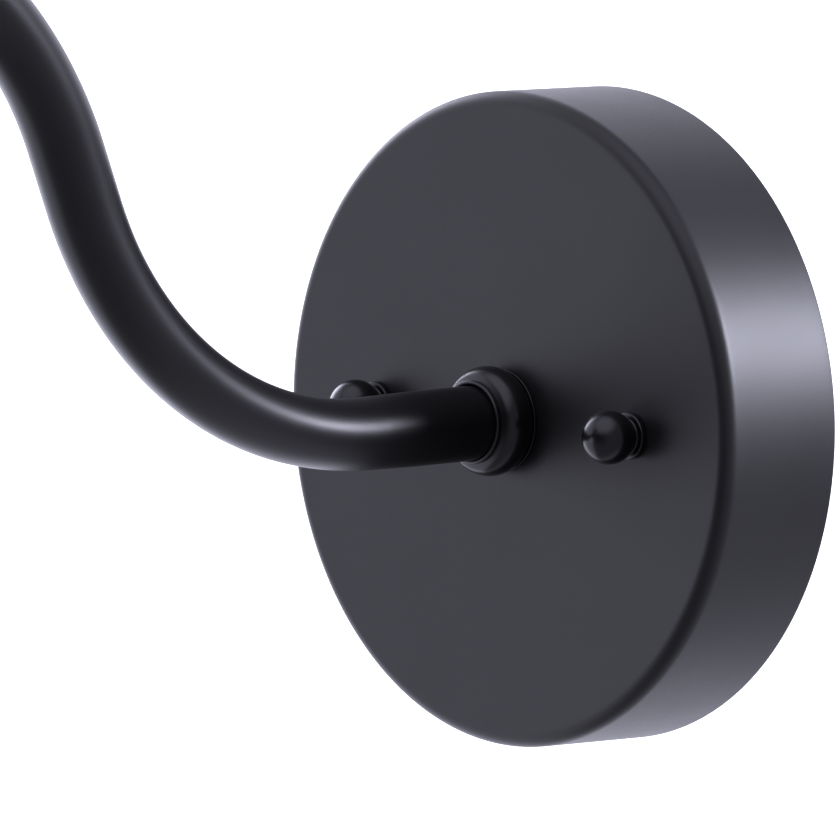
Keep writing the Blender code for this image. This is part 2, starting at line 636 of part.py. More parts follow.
def build_lamps(head):
    """The bracket under the shade, and on each side of it a socket, its contacts, and a tubular lamp."""
    inner_top = SHADE_AXIS_Z + SHADE_RADIUS - SHADE_SHEET - REFLECTOR_SHEET - 2 * GAP - 0.0009
    low = LAMP_AXIS_Z - SOCKET_RADIUS + 0.002
    web = BRACKET_SHEET / 2
    spots = (("left", -FORK_SCREW_SPREAD), ("right", FORK_SCREW_SPREAD))
    holes = [circle(x, 0.0, FORK_SCREW_CLEAR, 12) for _, x in spots]
    flange_place = Matrix.Translation((0.0, 0.0, inner_top - BRACKET_SHEET / 2))
    bracket = as_mesh(
        flat("lamp_bracket", [rectangle(BRIDGE_HALF_LENGTH, BRACKET_HALF_WIDTH), *holes], BRACKET_SHEET,
             LOOKS["zinc"], flange_place, head)
    )
    web_top = inner_top - BRACKET_SHEET / 2
    web_place = Matrix.Translation((0.0, 0.0, (web_top + low) / 2)) @ UPRIGHT
    web_outline = rectangle(BRACKET_HALF_WIDTH - 0.0005, (web_top - low) / 2)
    web_plate = as_mesh(flat("web_join", [web_outline], 2 * web, LOOKS["zinc"], web_place, head))
    combine(bracket, [web_plate], "UNION")

    head_low = BRIDGE_TOP + GAP
    nut_top = inner_top - BRACKET_SHEET - GAP
    screw_end = nut_top - FORK_NUT_HEIGHT - 0.0008
    for side, x in spots:
        screw = [
            (0.0, head_low + 0.0020), (0.0018, head_low + 0.0020), (0.0026, head_low + 0.0012),
            (0.0026, head_low), (FORK_SCREW_RADIUS, head_low), (FORK_SCREW_RADIUS, screw_end), (0.0, screw_end),
        ]
        turned(f"fork_screw_{side}", screw, LOOKS["zinc"], Matrix.Translation((x, 0.0, 0.0)), head, steps=12)
        nut = [hexagon(FORK_NUT_FLATS), circle(0.0, 0.0, FORK_SCREW_CLEAR, 12)]
        matrix = Matrix.Translation((x, 0.0, nut_top - FORK_NUT_HEIGHT / 2))
        flat(f"fork_nut_{side}", nut, FORK_NUT_HEIGHT, LOOKS["zinc"], matrix, head)

    for side, turn, sign in (("left", TO_LEFT, -1), ("right", TO_RIGHT, 1)):
        axis = Matrix.Translation((0.0, 0.0, LAMP_AXIS_Z)) @ turn
        build_lamp(side, axis, web + GAP, head)
        route = [
            GROMMET @ Vector((sign * LEAD_SPREAD, 0.0, 0.0045)),
            GROMMET @ Vector((sign * LEAD_SPREAD, 0.0, -0.0045)),
            (sign * 0.0040, 0.0130, -0.0270), (sign * 0.0075, 0.0118, -0.0330),
            (sign * 0.0090, 0.0105, LAMP_AXIS_Z),
        ]
        wire(f"lead_head_{side}", catmull(route, 4), LEAD_RADIUS * 0.8, LOOKS["live"], head)

    grommet = [
        (0.0026, 0.0016), (0.0040, 0.0016), (0.0044, 0.0006), (0.0029, 0.0006),
        (0.0029, -0.0016), (0.0042, -0.0016), (0.0038, -0.0032), (0.0026, -0.0032),
    ]
    turned("lead_grommet", grommet, LOOKS["rubber"], GROMMET, head, steps=20)


def build_lamp(side, axis, back, head):
    """One socket with its screw shell and centre contact, and the lamp screwed into it, along the axis."""
    mouth = back + SOCKET_LENGTH
    floor = back + 0.006
    socket = [
        (SOCKET_BORE, mouth), (SOCKET_RADIUS - 0.0006, mouth), (SOCKET_RADIUS, mouth - 0.0006),
        (SOCKET_RADIUS, back), (0.0030, back), (0.0030, floor), (SOCKET_BORE, floor),
    ]
    turned(f"socket_{side}", socket, LOOKS["phenolic"], axis, head, steps=28)
    shell_outer = SOCKET_BORE - GAP
    shell = [
        (shell_outer - SHELL_WALL, mouth - 0.001), (shell_outer, mouth - 0.001),
        (shell_outer, floor + 0.003), (shell_outer - SHELL_WALL, floor + 0.003),
    ]
    turned(f"socket_shell_{side}", shell, LOOKS["brass"], axis, head, steps=28)
    contact = [(0.0, floor + 0.0022), (0.0020, floor + 0.0016), (0.0020, back + 0.002), (0.0, back + 0.002)]
    turned(f"socket_contact_{side}", contact, LOOKS["brass"], axis, head, steps=12)

    tip = floor + 0.0026
    rim = mouth - 0.0015
    radius = LAMP_BASE_RADIUS
    wall = radius - 0.0008
    base = [
        (0.0, tip + 0.0040), (wall, tip + 0.0050), (wall, rim), (radius, rim),
        (radius, tip + 0.0030), (0.0034, tip + 0.0012), (0.0020, tip), (0.0, tip),
    ]
    turned(f"lamp_base_{side}", base, LOOKS["brass"], axis, head, steps=24)

    neck = rim + GAP
    shoulder = mouth + 0.0050
    end = BULB_REACH
    radius = BULB_RADIUS
    outer = arc((0.0, end - radius), radius, math.pi / 2, 0.0, 6)
    outer[0] = (0.0, end)
    outer += [(radius, shoulder), (0.0056, mouth - 0.0002), (0.0056, neck)]
    inner_radius = radius - BULB_WALL
    inner = [(0.0048, neck), (0.0048, mouth), (inner_radius, shoulder + 0.0004)]
    inner += arc((0.0, end - radius), inner_radius, 0.0, math.pi / 2, 6)
    inner[-1] = (0.0, end - BULB_WALL)
    turned(f"bulb_glass_{side}", outer + inner, LOOKS["glass"], axis, head, steps=20)

    start = neck - 0.002
    loop = [
        (-0.0018, 0.0, start), (-0.0018, 0.0, shoulder), (-0.0030, 0.0, end - 0.022),
        (0.0, 0.0, end - 0.014), (0.0030, 0.0, end - 0.022), (0.0018, 0.0, shoulder), (0.0018, 0.0, start),
    ]
    filament = wire(f"filament_{side}", catmull(loop, 2), 0.00035, LOOKS["filament"], head)
    filament.matrix_basis = axis


for old in list(bpy.data.objects):
    bpy.data.objects.remove(old)

PARTS = start_collection("picture_light")
CUTTERS = start_collection("cutters")
SIDES = (("left", -STUD_SPREAD), ("right", STUD_SPREAD))
LOOKS = {
    "black": make_material("black_powder_coat", (0.022, 0.021, 0.025), 0.42),
    "gloss_black": make_material("gloss_black_paint", (0.015, 0.015, 0.017), 0.25),
    "zinc": make_material("zinc_plate", (0.62, 0.62, 0.60), 0.35, 1.0),
    "steel": make_material("steel", (0.55, 0.55, 0.56), 0.35, 1.0),
    "brass": make_material("brass", (0.75, 0.55, 0.25), 0.30, 1.0),
    "mirror": make_material("bright_aluminium", (0.88, 0.88, 0.89), 0.15, 1.0),
    "green": make_material("green_ground", (0.05, 0.30, 0.10), 0.40),
    "live": make_material("black_insulation", (0.02, 0.02, 0.02), 0.50),
    "neutral": make_material("white_insulation", (0.80, 0.80, 0.78), 0.50),
    "orange": make_material("wire_nut_plastic", (0.80, 0.25, 0.04), 0.45),
    "fibre": make_material("black_fibre", (0.06, 0.05, 0.05), 0.80),
    "rubber": make_material("black_rubber", (0.03, 0.03, 0.03), 0.70),
    "phenolic": make_material("phenolic", (0.05, 0.04, 0.035), 0.35),
    "glass": make_material("clear_glass", (0.95, 0.95, 0.95), 0.05, 0.0, 0.35),
    "filament": make_material("filament", (0.90, 0.70, 0.35), 0.50),
}

GROMMET_ANGLE = math.radians(32.0)     # round the shade from its top, on the wall side
GROMMET = (
    Matrix.Translation((0.0, 0.0, SHADE_AXIS_Z))
    @ Matrix.Rotation(-GROMMET_ANGLE, 4, "X")
    @ Matrix.Translation((0.0, 0.0, SHADE_RADIUS))
)

centreline = arm_points()
outward = (centreline[-1] - centreline[-2]).normalized()
pivot = centreline[-1] + PIVOT_OFFSET * outward

arm_end = bpy.data.objects.new("arm_end_frame", None)
PARTS.objects.link(arm_end)
arm_end.location = pivot
arm_end.rotation_euler = (END_DROP - math.pi / 2, 0.0, 0.0)

head_frame = bpy.data.objects.new("head_frame", None)
PARTS.objects.link(head_frame)
head_frame.location = pivot
head_frame.rotation_euler = (HEAD_TILT, 0.0, 0.0)

build_canopy()
build_fasteners(build_straps())
build_collar()
build_arm(centreline)
build_leads(centreline)
build_knuckle_base(arm_end)
build_knuckle(head_frame)
build_shade(head_frame)
build_lamps(head_frame)
bpy.context.view_layer.update()
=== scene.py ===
"""Looks of the wall-mounted picture light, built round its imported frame. Lengths are in metres."""

import json
from math import acos, ceil, cos, pi, radians, sin, sqrt, tan

import bmesh
import bpy
from mathutils import Matrix, Vector


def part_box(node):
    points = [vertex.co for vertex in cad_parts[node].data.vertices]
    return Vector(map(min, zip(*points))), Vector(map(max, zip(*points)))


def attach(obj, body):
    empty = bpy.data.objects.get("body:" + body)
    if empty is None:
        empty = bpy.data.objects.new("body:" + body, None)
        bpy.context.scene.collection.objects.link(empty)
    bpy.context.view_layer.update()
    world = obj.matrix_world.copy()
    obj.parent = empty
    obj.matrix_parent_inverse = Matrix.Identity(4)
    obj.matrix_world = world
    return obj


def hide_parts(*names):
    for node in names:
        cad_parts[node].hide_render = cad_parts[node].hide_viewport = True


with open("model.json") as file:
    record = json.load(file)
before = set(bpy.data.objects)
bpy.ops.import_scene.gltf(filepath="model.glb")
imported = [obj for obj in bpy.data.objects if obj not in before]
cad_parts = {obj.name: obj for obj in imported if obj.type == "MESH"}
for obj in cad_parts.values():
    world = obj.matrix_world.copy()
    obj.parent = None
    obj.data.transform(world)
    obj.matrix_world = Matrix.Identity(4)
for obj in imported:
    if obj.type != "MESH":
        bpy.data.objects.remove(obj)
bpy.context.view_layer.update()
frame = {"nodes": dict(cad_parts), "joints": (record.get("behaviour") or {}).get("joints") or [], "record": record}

TO_ROOM = Matrix.Rotation(radians(90), 4, "X")               # local +Z becomes -Y, out of the wall
TO_RIGHT = Matrix.Rotation(radians(90), 4, "Y")              # local +Z becomes +X
TO_LEFT = Matrix.Rotation(radians(-90), 4, "Y")              # local +Z becomes -X
SIDEWAYS = {-1: TO_LEFT, 1: TO_RIGHT}
UPRIGHT = Matrix.Rotation(radians(90), 4, "Z") @ TO_ROOM     # local X becomes Y, and local Y becomes Z

PIVOT = Vector(next(joint["pos_m"] for joint in frame["joints"] if joint["name"] == "head_tilt"))
HEAD_TILT = radians(12.0)
END_DROP = radians(45.0)
HEAD = Matrix.Translation(PIVOT) @ Matrix.Rotation(HEAD_TILT, 4, "X")
ARM_END = Matrix.Translation(PIVOT) @ Matrix.Rotation(END_DROP - pi / 2, 4, "X")
HANDS = (("left", -1), ("right", 1))
GAP = 0.0003


# ---------------------------------------------------------------- materials

COLOUR_A, COLOUR_B, COLOUR_RESULT = 6, 7, 2      # a Mix node's colour sockets


def add_node(tree, kind, inputs=None, **settings):
    """A new node, with its inputs linked or set."""
    made = tree.nodes.new(kind)
    for key, value in settings.items():
        setattr(made, key, value)
    for key, value in (inputs or {}).items():
        if isinstance(value, bpy.types.NodeSocket):
            tree.links.new(value, made.inputs[key])
        else:
            made.inputs[key].default_value = value
    return made


class Look:
    """A Principled material whose colour, roughness and surface come from nodes in object space."""

    def __init__(self, name, **sockets):
        self.material = bpy.data.materials.new(name)
        self.material.use_nodes = True
        self.tree = self.material.node_tree
        self.shader = self.tree.nodes["Principled BSDF"]
        self.place = self.node("ShaderNodeTexCoord").outputs["Object"]
        for socket, value in sockets.items():
            self.shader.inputs[socket.replace("_", " ")].default_value = value

    def node(self, kind, inputs=None, **settings):
        """A new node of this material."""
        return add_node(self.tree, kind, inputs, **settings)

    def noise(self, scale, detail=3.0, roughness=0.55, stretch=None):
        """Noise that repeats scale times in a metre, stretched along an axis if asked."""
        where = self.place
        if stretch:
            where = self.node("ShaderNodeMapping", {"Vector": where, "Scale": stretch}).outputs["Vector"]
        inputs = {"Vector": where, "Scale": scale, "Detail": detail, "Roughness": roughness}
        return self.node("ShaderNodeTexNoise", inputs).outputs["Fac"]

    def ramp(self, fac, low, high, low_value, high_value):
        """Maps fac from low..high to low_value..high_value, which are numbers."""
        inputs = {"Value": fac, "From Min": low, "From Max": high, "To Min": low_value, "To Max": high_value}
        return self.node("ShaderNodeMapRange", inputs).outputs["Result"]

    def spread(self, noise, low, high):
        """Maps the usual range of a noise to low..high."""
        return self.ramp(noise, 0.3, 0.7, low, high)

    def mix(self, fac, first, second):
        """A colour between first and second."""
        first, second = [(*value, 1.0) if isinstance(value, tuple) else value for value in (first, second)]
        made = self.node("ShaderNodeMix", {0: fac, COLOUR_A: first, COLOUR_B: second}, data_type="RGBA")
        return made.outputs[COLOUR_RESULT]

    def times(self, first, second):
        """The product of two numbers or sockets."""
        return self.node("ShaderNodeMath", {0: first, 1: second}, operation="MULTIPLY").outputs["Value"]

    def plus(self, first, second):
        """The sum of two numbers or sockets."""
        return self.node("ShaderNodeMath", {0: first, 1: second}, operation="ADD").outputs["Value"]

    def finish(self, colour, roughness, height, distance, strength):
        """The material with its colour, its roughness and a relief that is distance metres deep."""
        relief = self.node("ShaderNodeBump", {"Height": height, "Distance": distance, "Strength": strength})
        links = {"Base Color": colour, "Roughness": roughness, "Normal": relief.outputs["Normal"]}
        for socket, value in links.items():
            self.tree.links.new(value, self.shader.inputs[socket])
        return self.material


def two_tone(name, colours, gloss, relief, **sockets):
    """Two colours, uneven roughness and a fine relief, each from a noise of its own scale and detail."""
    look = Look(name, **sockets)
    scale, detail, first, second = colours
    colour = look.mix(look.noise(scale, detail), first, second)
    scale, detail, low, high = gloss
    roughness = look.spread(look.noise(scale, detail), low, high)
    scale, detail, distance, strength = relief
    return look.finish(colour, roughness, look.noise(scale, detail), distance, strength)


def powder_coat(name, low, high):
    """Satin black powder coat: orange peel, roughness clouded from low to high, a thin film on edges."""
    look = Look(name)
    clouds = look.noise(38.0, 4.0)
    grain = look.noise(1500.0, 2.0, 0.5)
    body = look.mix(clouds, (0.0030, 0.0030, 0.0034), (0.0052, 0.0051, 0.0058))
    outer_edges = look.ramp(look.node("ShaderNodeNewGeometry").outputs["Pointiness"], 0.53, 0.62, 0.0, 1.0)
    wear = look.times(outer_edges, look.ramp(look.noise(420.0), 0.45, 0.65, 0.2, 1.0))
    roughness = look.plus(look.spread(clouds, low, high), look.spread(grain, -0.015, 0.015))
    peel = look.plus(look.times(grain, 0.7), look.times(look.noise(520.0, 2.0), 0.6))
    return look.finish(look.mix(wear, body, (0.016, 0.016, 0.018)), roughness, peel, 0.000012, 0.35)


def gloss_paint():
    """Semi-gloss black paint on the turned fittings."""
    return two_tone("gloss_black_paint", (90.0, 3.0, (0.0028, 0.0028, 0.0032), (0.0046, 0.0045, 0.0052)),
                    (300.0, 3.0, 0.20, 0.27), (900.0, 2.0, 0.00001, 0.35))


def zinc():
    """Bright zinc plate: cold grey with a hint of blue and yellow, rolled grain and dulled patches."""
    look = Look("zinc_plate", Metallic=1.0)
    tint = look.mix(look.noise(60.0, 4.0), (0.56, 0.57, 0.60), (0.66, 0.64, 0.58))
    stain = look.ramp(look.noise(180.0, 5.0, 0.65), 0.55, 0.75, 0.0, 0.45)
    grain = look.noise(900.0, 3.0, 0.6, (1.0, 1.0, 0.12))
    roughness = look.plus(look.spread(grain, 0.26, 0.38), look.times(stain, 0.2))
    return look.finish(look.mix(stain, tint, (0.40, 0.39, 0.37)), roughness, grain, 0.00002, 0.4)


def brass():
    """Spun brass: warm, lightly tarnished in patches."""
    look = Look("brass", Metallic=1.0)
    tarnish = look.ramp(look.noise(140.0, 5.0, 0.6), 0.45, 0.75, 0.0, 0.7)
    roughness = look.plus(look.spread(look.noise(1100.0, 2.0), 0.22, 0.30), look.times(tarnish, 0.2))
    colour = look.mix(tarnish, (0.80, 0.60, 0.28), (0.48, 0.33, 0.14))
    return look.finish(colour, roughness, look.noise(700.0, 3.0), 0.00002, 0.3)


def bright_aluminium():
    """The reflector: brushed along the shade, with a faint haze."""
    look = Look("bright_aluminium", Metallic=1.0, Anisotropic=0.4)
    brush = look.noise(1600.0, 4.0, 0.6, (0.02, 1.0, 1.0))
    haze = look.ramp(look.noise(25.0), 0.4, 0.7, 0.0, 0.05)
    colour = look.mix(brush, (0.80, 0.80, 0.82), (0.92, 0.92, 0.93))
    return look.finish(colour, look.plus(look.spread(brush, 0.16, 0.28), haze), brush, 0.00001, 0.35)


def green_screw():
    """Green-dyed zinc of a ground screw."""
    return two_tone("green_ground", (200.0, 4.0, (0.03, 0.22, 0.07), (0.07, 0.36, 0.13)),
                    (700.0, 3.0, 0.24, 0.36), (900.0, 3.0, 0.00001, 0.3), Metallic=0.85)


def clear_glass():
    """Thin clear bulb glass with the slightest ripple."""
    return two_tone("clear_glass", (60.0, 3.0, (0.985, 0.990, 0.985), (1.0, 1.0, 1.0)),
                    (200.0, 3.0, 0.0, 0.015), (140.0, 2.0, 0.00002, 0.15), Transmission_Weight=1.0, IOR=1.46)


def moulded(name, first, second, roughness, peel):
    """Moulded plastic, insulation or the like: a fine skin whose relief is peel metres deep."""
    return two_tone(name, (110.0, 4.0, first, second), (480.0, 4.0, roughness - 0.05, roughness + 0.06),
                    (1300.0, 3.0, peel, 0.5))


# Two colours, roughness and depth of relief
MOULDED = {
    "green_insulation": ((0.03, 0.20, 0.06), (0.05, 0.27, 0.09), 0.42, 0.00001),
    "black_insulation": ((0.016, 0.016, 0.017), (0.026, 0.026, 0.027), 0.42, 0.00001),
    "white_insulation": ((0.72, 0.71, 0.67), (0.80, 0.79, 0.76), 0.42, 0.00001),
    "wire_nut_plastic": ((0.72, 0.19, 0.03), (0.85, 0.27, 0.05), 0.40, 0.00002),
    "black_fibre": ((0.045, 0.038, 0.034), (0.085, 0.072, 0.064), 0.80, 0.00004),
    "black_rubber": ((0.020, 0.020, 0.021), (0.032, 0.032, 0.033), 0.65, 0.00002),
    "phenolic": ((0.030, 0.024, 0.021), (0.055, 0.045, 0.040), 0.30, 0.00001),
    "filament": ((0.78, 0.62, 0.34), (0.95, 0.80, 0.48), 0.50, 0.00001),
}
LOOKS = {name: moulded(name, *values) for name, values in MOULDED.items()}
LOOKS |= {
    "black_powder_coat": powder_coat("black_powder_coat", 0.415, 0.450),
    "gloss_black_paint": gloss_paint(),
    "zinc_plate": zinc(),
    "brass": brass(),
    "bright_aluminium": bright_aluminium(),
    "green_ground": green_screw(),
    "clear_glass": clear_glass(),
}
ARM_LOOK = powder_coat("black_powder_coat_smooth", 0.32, 0.35)


# ---------------------------------------------------------------- shapes

SHARP_ANGLE = radians(32.0)
ON_AXIS = 1e-7               # a smaller radius is a point on the axis
MERGE_OUTLINE = 0.000005
MERGE_CUT = 0.000002
MERGE_EDGE = 0.000001


def arc(centre, radius, start, end, count):
    """Points on an arc, with the angles in radians and both ends included."""
    steps = [start + (end - start) * i / (count - 1) for i in range(count)]
    return [(centre[0] + radius * cos(a), centre[1] + radius * sin(a)) for a in steps]


def circle(radius, count, x=0.0, y=0.0):
    """A round outline."""
    return arc((x, y), radius, 0.0, 2 * pi * (count - 1) / count, count)


def rounded(corners, closed=True, steps=5):
    """The outline through corners (x, y, radius), each rounded with its own radius."""
    points = []
    count = len(corners)
    for i, (x, y, radius) in enumerate(corners):
        here = Vector((x, y))
        ends = not closed and i in (0, count - 1)
        if radius <= 0 or ends:
            points.append((x, y))
            continue
        back = (Vector(corners[i - 1][:2]) - here).normalized()
        ahead = (Vector(corners[(i + 1) % count][:2]) - here).normalized()
        half = back.angle(ahead) / 2
        reach = radius / tan(half)
        centre = here + (back + ahead).normalized() * radius / sin(half)
        start = here + back * reach - centre
        end = here + ahead * reach - centre
        sweep_angle = start.angle_signed(end)
        for step in range(steps + 1):
            turn = Matrix.Rotation(-sweep_angle * step / steps, 2)
            points.append(tuple(centre + turn @ start))
    return points


def block(half_x, half_y, corner):
    """A rectangle's outline with rounded corners."""
    return rounded([(-half_x, -half_y, corner), (half_x, -half_y, corner),
                    (half_x, half_y, corner), (-half_x, half_y, corner)])


def mirrored(points):
    """The points on the other side of the second axis, in the opposite order."""
    return [(-x, y) for x, y in reversed(points)]


def column(radius, high, low, count):
    """Profile points straight down a round side."""
    return [(radius, high + (low - high) * i / count) for i in range(count + 1)]


def wave(phase):
    """A smooth wave from 0 to 1."""
    return 0.5 + 0.5 * cos(phase)


def along_at(points, i, closed=False):
    """The direction of a path at its point i."""
    last = len(points) - 1
    if closed:
        return (points[(i + 1) % len(points)] - points[i - 1]).normalized()
    return (points[min(i + 1, last)] - points[max(i - 1, 0)]).normalized()


def left_sides(corners, closed=False):
    """The unit normals to the left of a flat path."""
    ways = [along_at(corners, i, closed) for i in range(len(corners))]
    return [Vector((-along.y, along.x)) for along in ways]


def placed(name, data):
    """An object in the scene."""
    obj = bpy.data.objects.new(name, data)
    bpy.context.scene.collection.objects.link(obj)
    return obj


def mesh_from(build, name):
    """The mesh of a bmesh, which is freed."""
    mesh = bpy.data.meshes.new(name)
    build.to_mesh(mesh)
    build.free()
    return mesh


def finish_mesh(name, build, body, slot, replaced=None, matrix=None, weighted=True):
    """Turns a bmesh into a piece that rides on a body and may stand for a CAD node."""
    bmesh.ops.delete(build, geom=[v for v in build.verts if not v.link_faces], context="VERTS")
    bmesh.ops.recalc_face_normals(build, faces=build.faces)
    if matrix is not None:
        build.transform(matrix)
    mesh = mesh_from(build, name)
    mesh.shade_smooth()
    mesh.set_sharp_from_angle(angle=SHARP_ANGLE)
    obj = placed(name, mesh)
    mesh.materials.append(LOOKS[slot])
    if weighted:
        normals = obj.modifiers.new("normals", "WEIGHTED_NORMAL")
        normals.keep_sharp = True
        normals.weight = 80
    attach(obj, body)
    if replaced:
        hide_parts(replaced)
    return obj


def skin(build, first, second):
    """Faces between two closed rings of vertices. Either ring may be a single vertex."""
    count = max(len(first), len(second))
    for step in range(count):
        after = (step + 1) % count
        corners = [first[step % len(first)], first[after % len(first)],
                   second[after % len(second)], second[step % len(second)]]
        unique = list(dict.fromkeys(corners))
        if len(unique) > 2:
            build.faces.new(unique)


def revolve(build, profile, segments, radius_at=None, lift_at=None):
    """The (radius, z) profile turned round Z, its last ring joined to its first unless both are on the axis.

    radius_at and lift_at change a point with its angle.
    """
    rings = []
    for index, (radius, z) in enumerate(profile):
        if radius < ON_AXIS:
            rings.append([build.verts.new((0.0, 0.0, z))])
            continue
        ring = []
        for step in range(segments):
            angle = 2 * pi * step / segments
            r = radius_at(index, radius, z, angle) if radius_at else radius
            lift = lift_at(index, angle) if lift_at else 0.0
            ring.append(build.verts.new((r * cos(angle), r * sin(angle), z + lift)))
        rings.append(ring)
    for upper, lower in zip(rings, rings[1:] + rings[:1]):
        skin(build, upper, lower)


def lathe(name, profile, body, slot, matrix, replaced=None, segments=96, **changes):
    """A turned piece about local Z."""
    build = bmesh.new()
    revolve(build, profile, segments, **changes)
    return finish_mesh(name, build, body, slot, replaced, matrix)


def plate(name, outlines, thickness, body, slot, matrix, replaced=None, edge=0.0002):
    """A flat plate about local Z = 0 with rounded edges. The outlines are its edge and then its holes."""
    curve = bpy.data.curves.new(name, "CURVE")
    curve.dimensions = "2D"
    curve.fill_mode = "BOTH"
    curve.extrude = thickness / 2 - edge
    curve.bevel_depth = edge
    curve.bevel_resolution = 2
    curve.offset = -edge
    for outline in outlines:
        spline = curve.splines.new("POLY")
        spline.points.add(len(outline) - 1)
        for point, (x, y) in zip(spline.points, outline):
            point.co = (x, y, 0.0, 1.0)
        spline.use_cyclic_u = True
    holder = placed(name + "_outline", curve)
    mesh = bpy.data.meshes.new_from_object(holder.evaluated_get(bpy.context.evaluated_depsgraph_get()))
    bpy.data.objects.remove(holder)
    build = bmesh.new()
    build.from_mesh(mesh)
    bpy.data.meshes.remove(mesh)
    bmesh.ops.remove_doubles(build, verts=build.verts, dist=MERGE_OUTLINE)
    bmesh.ops.dissolve_degenerate(build, edges=build.edges, dist=MERGE_EDGE)
    return finish_mesh(name, build, body, slot, replaced, matrix)


def sweep(build, points, shapes, sides, ends=True):
    """A tube along points, turned as little as possible. shapes holds each point's two half widths."""
    points = [Vector(p) for p in points]
    normal = None
    rings = []
    for i, (point, (wide, tall)) in enumerate(zip(points, shapes)):
        along = along_at(points, i)
        if normal is None:
            normal = along.orthogonal().normalized()
            if abs(along.x) < 0.5:
                normal = (Vector((1.0, 0.0, 0.0)) - along * along.x).normalized()
        normal = (normal - along * normal.dot(along)).normalized()
        other = along.cross(normal)
        ring = []
        for step in range(sides):
            angle = 2 * pi * step / sides
            ring.append(build.verts.new(point + normal * wide * cos(angle) + other * tall * sin(angle)))
        rings.append(ring)
    for first, second in zip(rings, rings[1:]):
        skin(build, first, second)
    if ends:
        build.faces.new(rings[0])
        build.faces.new(rings[-1])
    return rings


def wire(build, points, radius, sides):
    """A round wire along points."""
    sweep(build, points, [(radius, radius)] * len(points), sides)


def catmull(points, per_span):
    """A smooth curve through the points, sampled per_span times between neighbours."""
    nodes = [Vector(p) for p in points]
    nodes = [2 * nodes[0] - nodes[1], *nodes, 2 * nodes[-1] - nodes[-2]]
    found = []
    for i in range(1, len(nodes) - 2):
        before, start, end, after = nodes[i - 1:i + 3]
        for step in range(per_span):
            t = step / per_span
            found.append(0.5 * (2 * start + (end - before) * t
                                + (2 * before - 5 * start + 4 * end - after) * t ** 2
                                + (3 * start - before - 3 * end + after) * t ** 3))
    return found + [nodes[-2]]


def filled(path, longest):
    """The path with points added so that no two neighbours are further apart than longest."""
    corners = [Vector(p) for p in path]
    found = [corners[0]]
    for first, second in zip(corners, corners[1:]):
        count = ceil((second - first).length / longest)
        found += [first.lerp(second, i / count) for i in range(1, count + 1)]
    return found


def bent_sheet(name, path, thickness, half_length, slot, replaced, cutters):
    """A sheet of the head, bent along the (y, z) path and drawn out along X, with holes cut in it.

    The thickness is to the path's left.
    """
    corners = filled(path, 0.0012)
    sides = left_sides(corners)
    edge = 0.00015
    build = bmesh.new()
    loops = []
    rows = [(half_length, edge)] + [(half_length - back, 0.0) for back in (edge, 0.0010, 0.0025)]
    rows += [(half_length * i / 12, 0.0) for i in range(11, -1, -1)]
    rows += [(-x, inset) for x, inset in reversed(rows[:-1])]
    for x, inset in rows:
        outer = [build.verts.new((x, *(c + n * inset))) for c, n in zip(corners, sides)]
        inner = [build.verts.new((x, *(c + n * (thickness - inset)))) for c, n in zip(corners, sides)]
        loops.append(outer + inner[::-1])
    for first, second in zip(loops, loops[1:]):
        skin(build, first, second)
    for loop in (loops[0], loops[-1]):
        for step in range(len(corners) - 1):
            build.faces.new((loop[step], loop[step + 1], loop[-step - 2], loop[-step - 1]))
    cut(finish_mesh(name, build, "head", slot, replaced, HEAD), cutters)


def cut(obj, cutters):
    """Cuts closed shapes from a piece and applies the result."""
    obj.modifiers["normals"].show_viewport = False
    for cutter in reversed(cutters):
        modifier = obj.modifiers.new("cut", "BOOLEAN")
        modifier.operation = "DIFFERENCE"
        modifier.solver = "EXACT"
        modifier.object = cutter
    bpy.context.view_layer.update()
    mesh = bpy.data.meshes.new_from_object(obj.evaluated_get(bpy.context.evaluated_depsgraph_get()))
    for modifier in [m for m in obj.modifiers if m.type == "BOOLEAN"]:
        obj.modifiers.remove(modifier)
    obj.modifiers["normals"].show_viewport = True
    build = bmesh.new()
    build.from_mesh(mesh)
    bmesh.ops.remove_doubles(build, verts=build.verts, dist=MERGE_CUT)
    bmesh.ops.dissolve_degenerate(build, edges=build.edges, dist=MERGE_EDGE)
    build.to_mesh(mesh)
    build.free()
    obj.data = mesh
    mesh.set_sharp_from_angle(angle=SHARP_ANGLE)
    for cutter in cutters:
        bpy.data.objects.remove(cutter)


def rod_cutter(radius, low, high, matrix, segments=48):
    """A round cutter along local Z."""
    build = bmesh.new()
    revolve(build, [(0.0, high), (radius, high), (radius, low), (0.0, low)], segments)
    bmesh.ops.recalc_face_normals(build, faces=build.faces)
    cutter = placed("cutter", mesh_from(build, "cutter"))
    cutter.matrix_world = matrix
    return cutter


def box_cutter(half, matrix):
    """A box cutter with those half sizes."""
    build = bmesh.new()
    bmesh.ops.create_cube(build, size=2.0)
    bmesh.ops.scale(build, vec=half, verts=build.verts)
    cutter = placed("cutter", mesh_from(build, "cutter"))
    cutter.matrix_world = matrix
    return cutter


def at_wall(x=0.0, depth=0.0):
    """A place level with the canopy's middle, depth metres off the wall, with local +Z into the room."""
    return Matrix.Translation((x, -depth, 0.0)) @ TO_ROOM


def in_head(x=0.0, z=0.0):
    """A matrix at (x, z) in the head's own frame, whose origin is the pivot."""
    return HEAD @ Matrix.Translation((x, 0.0, z))


# ---------------------------------------------------------------- sizes, the main ones read from the frame

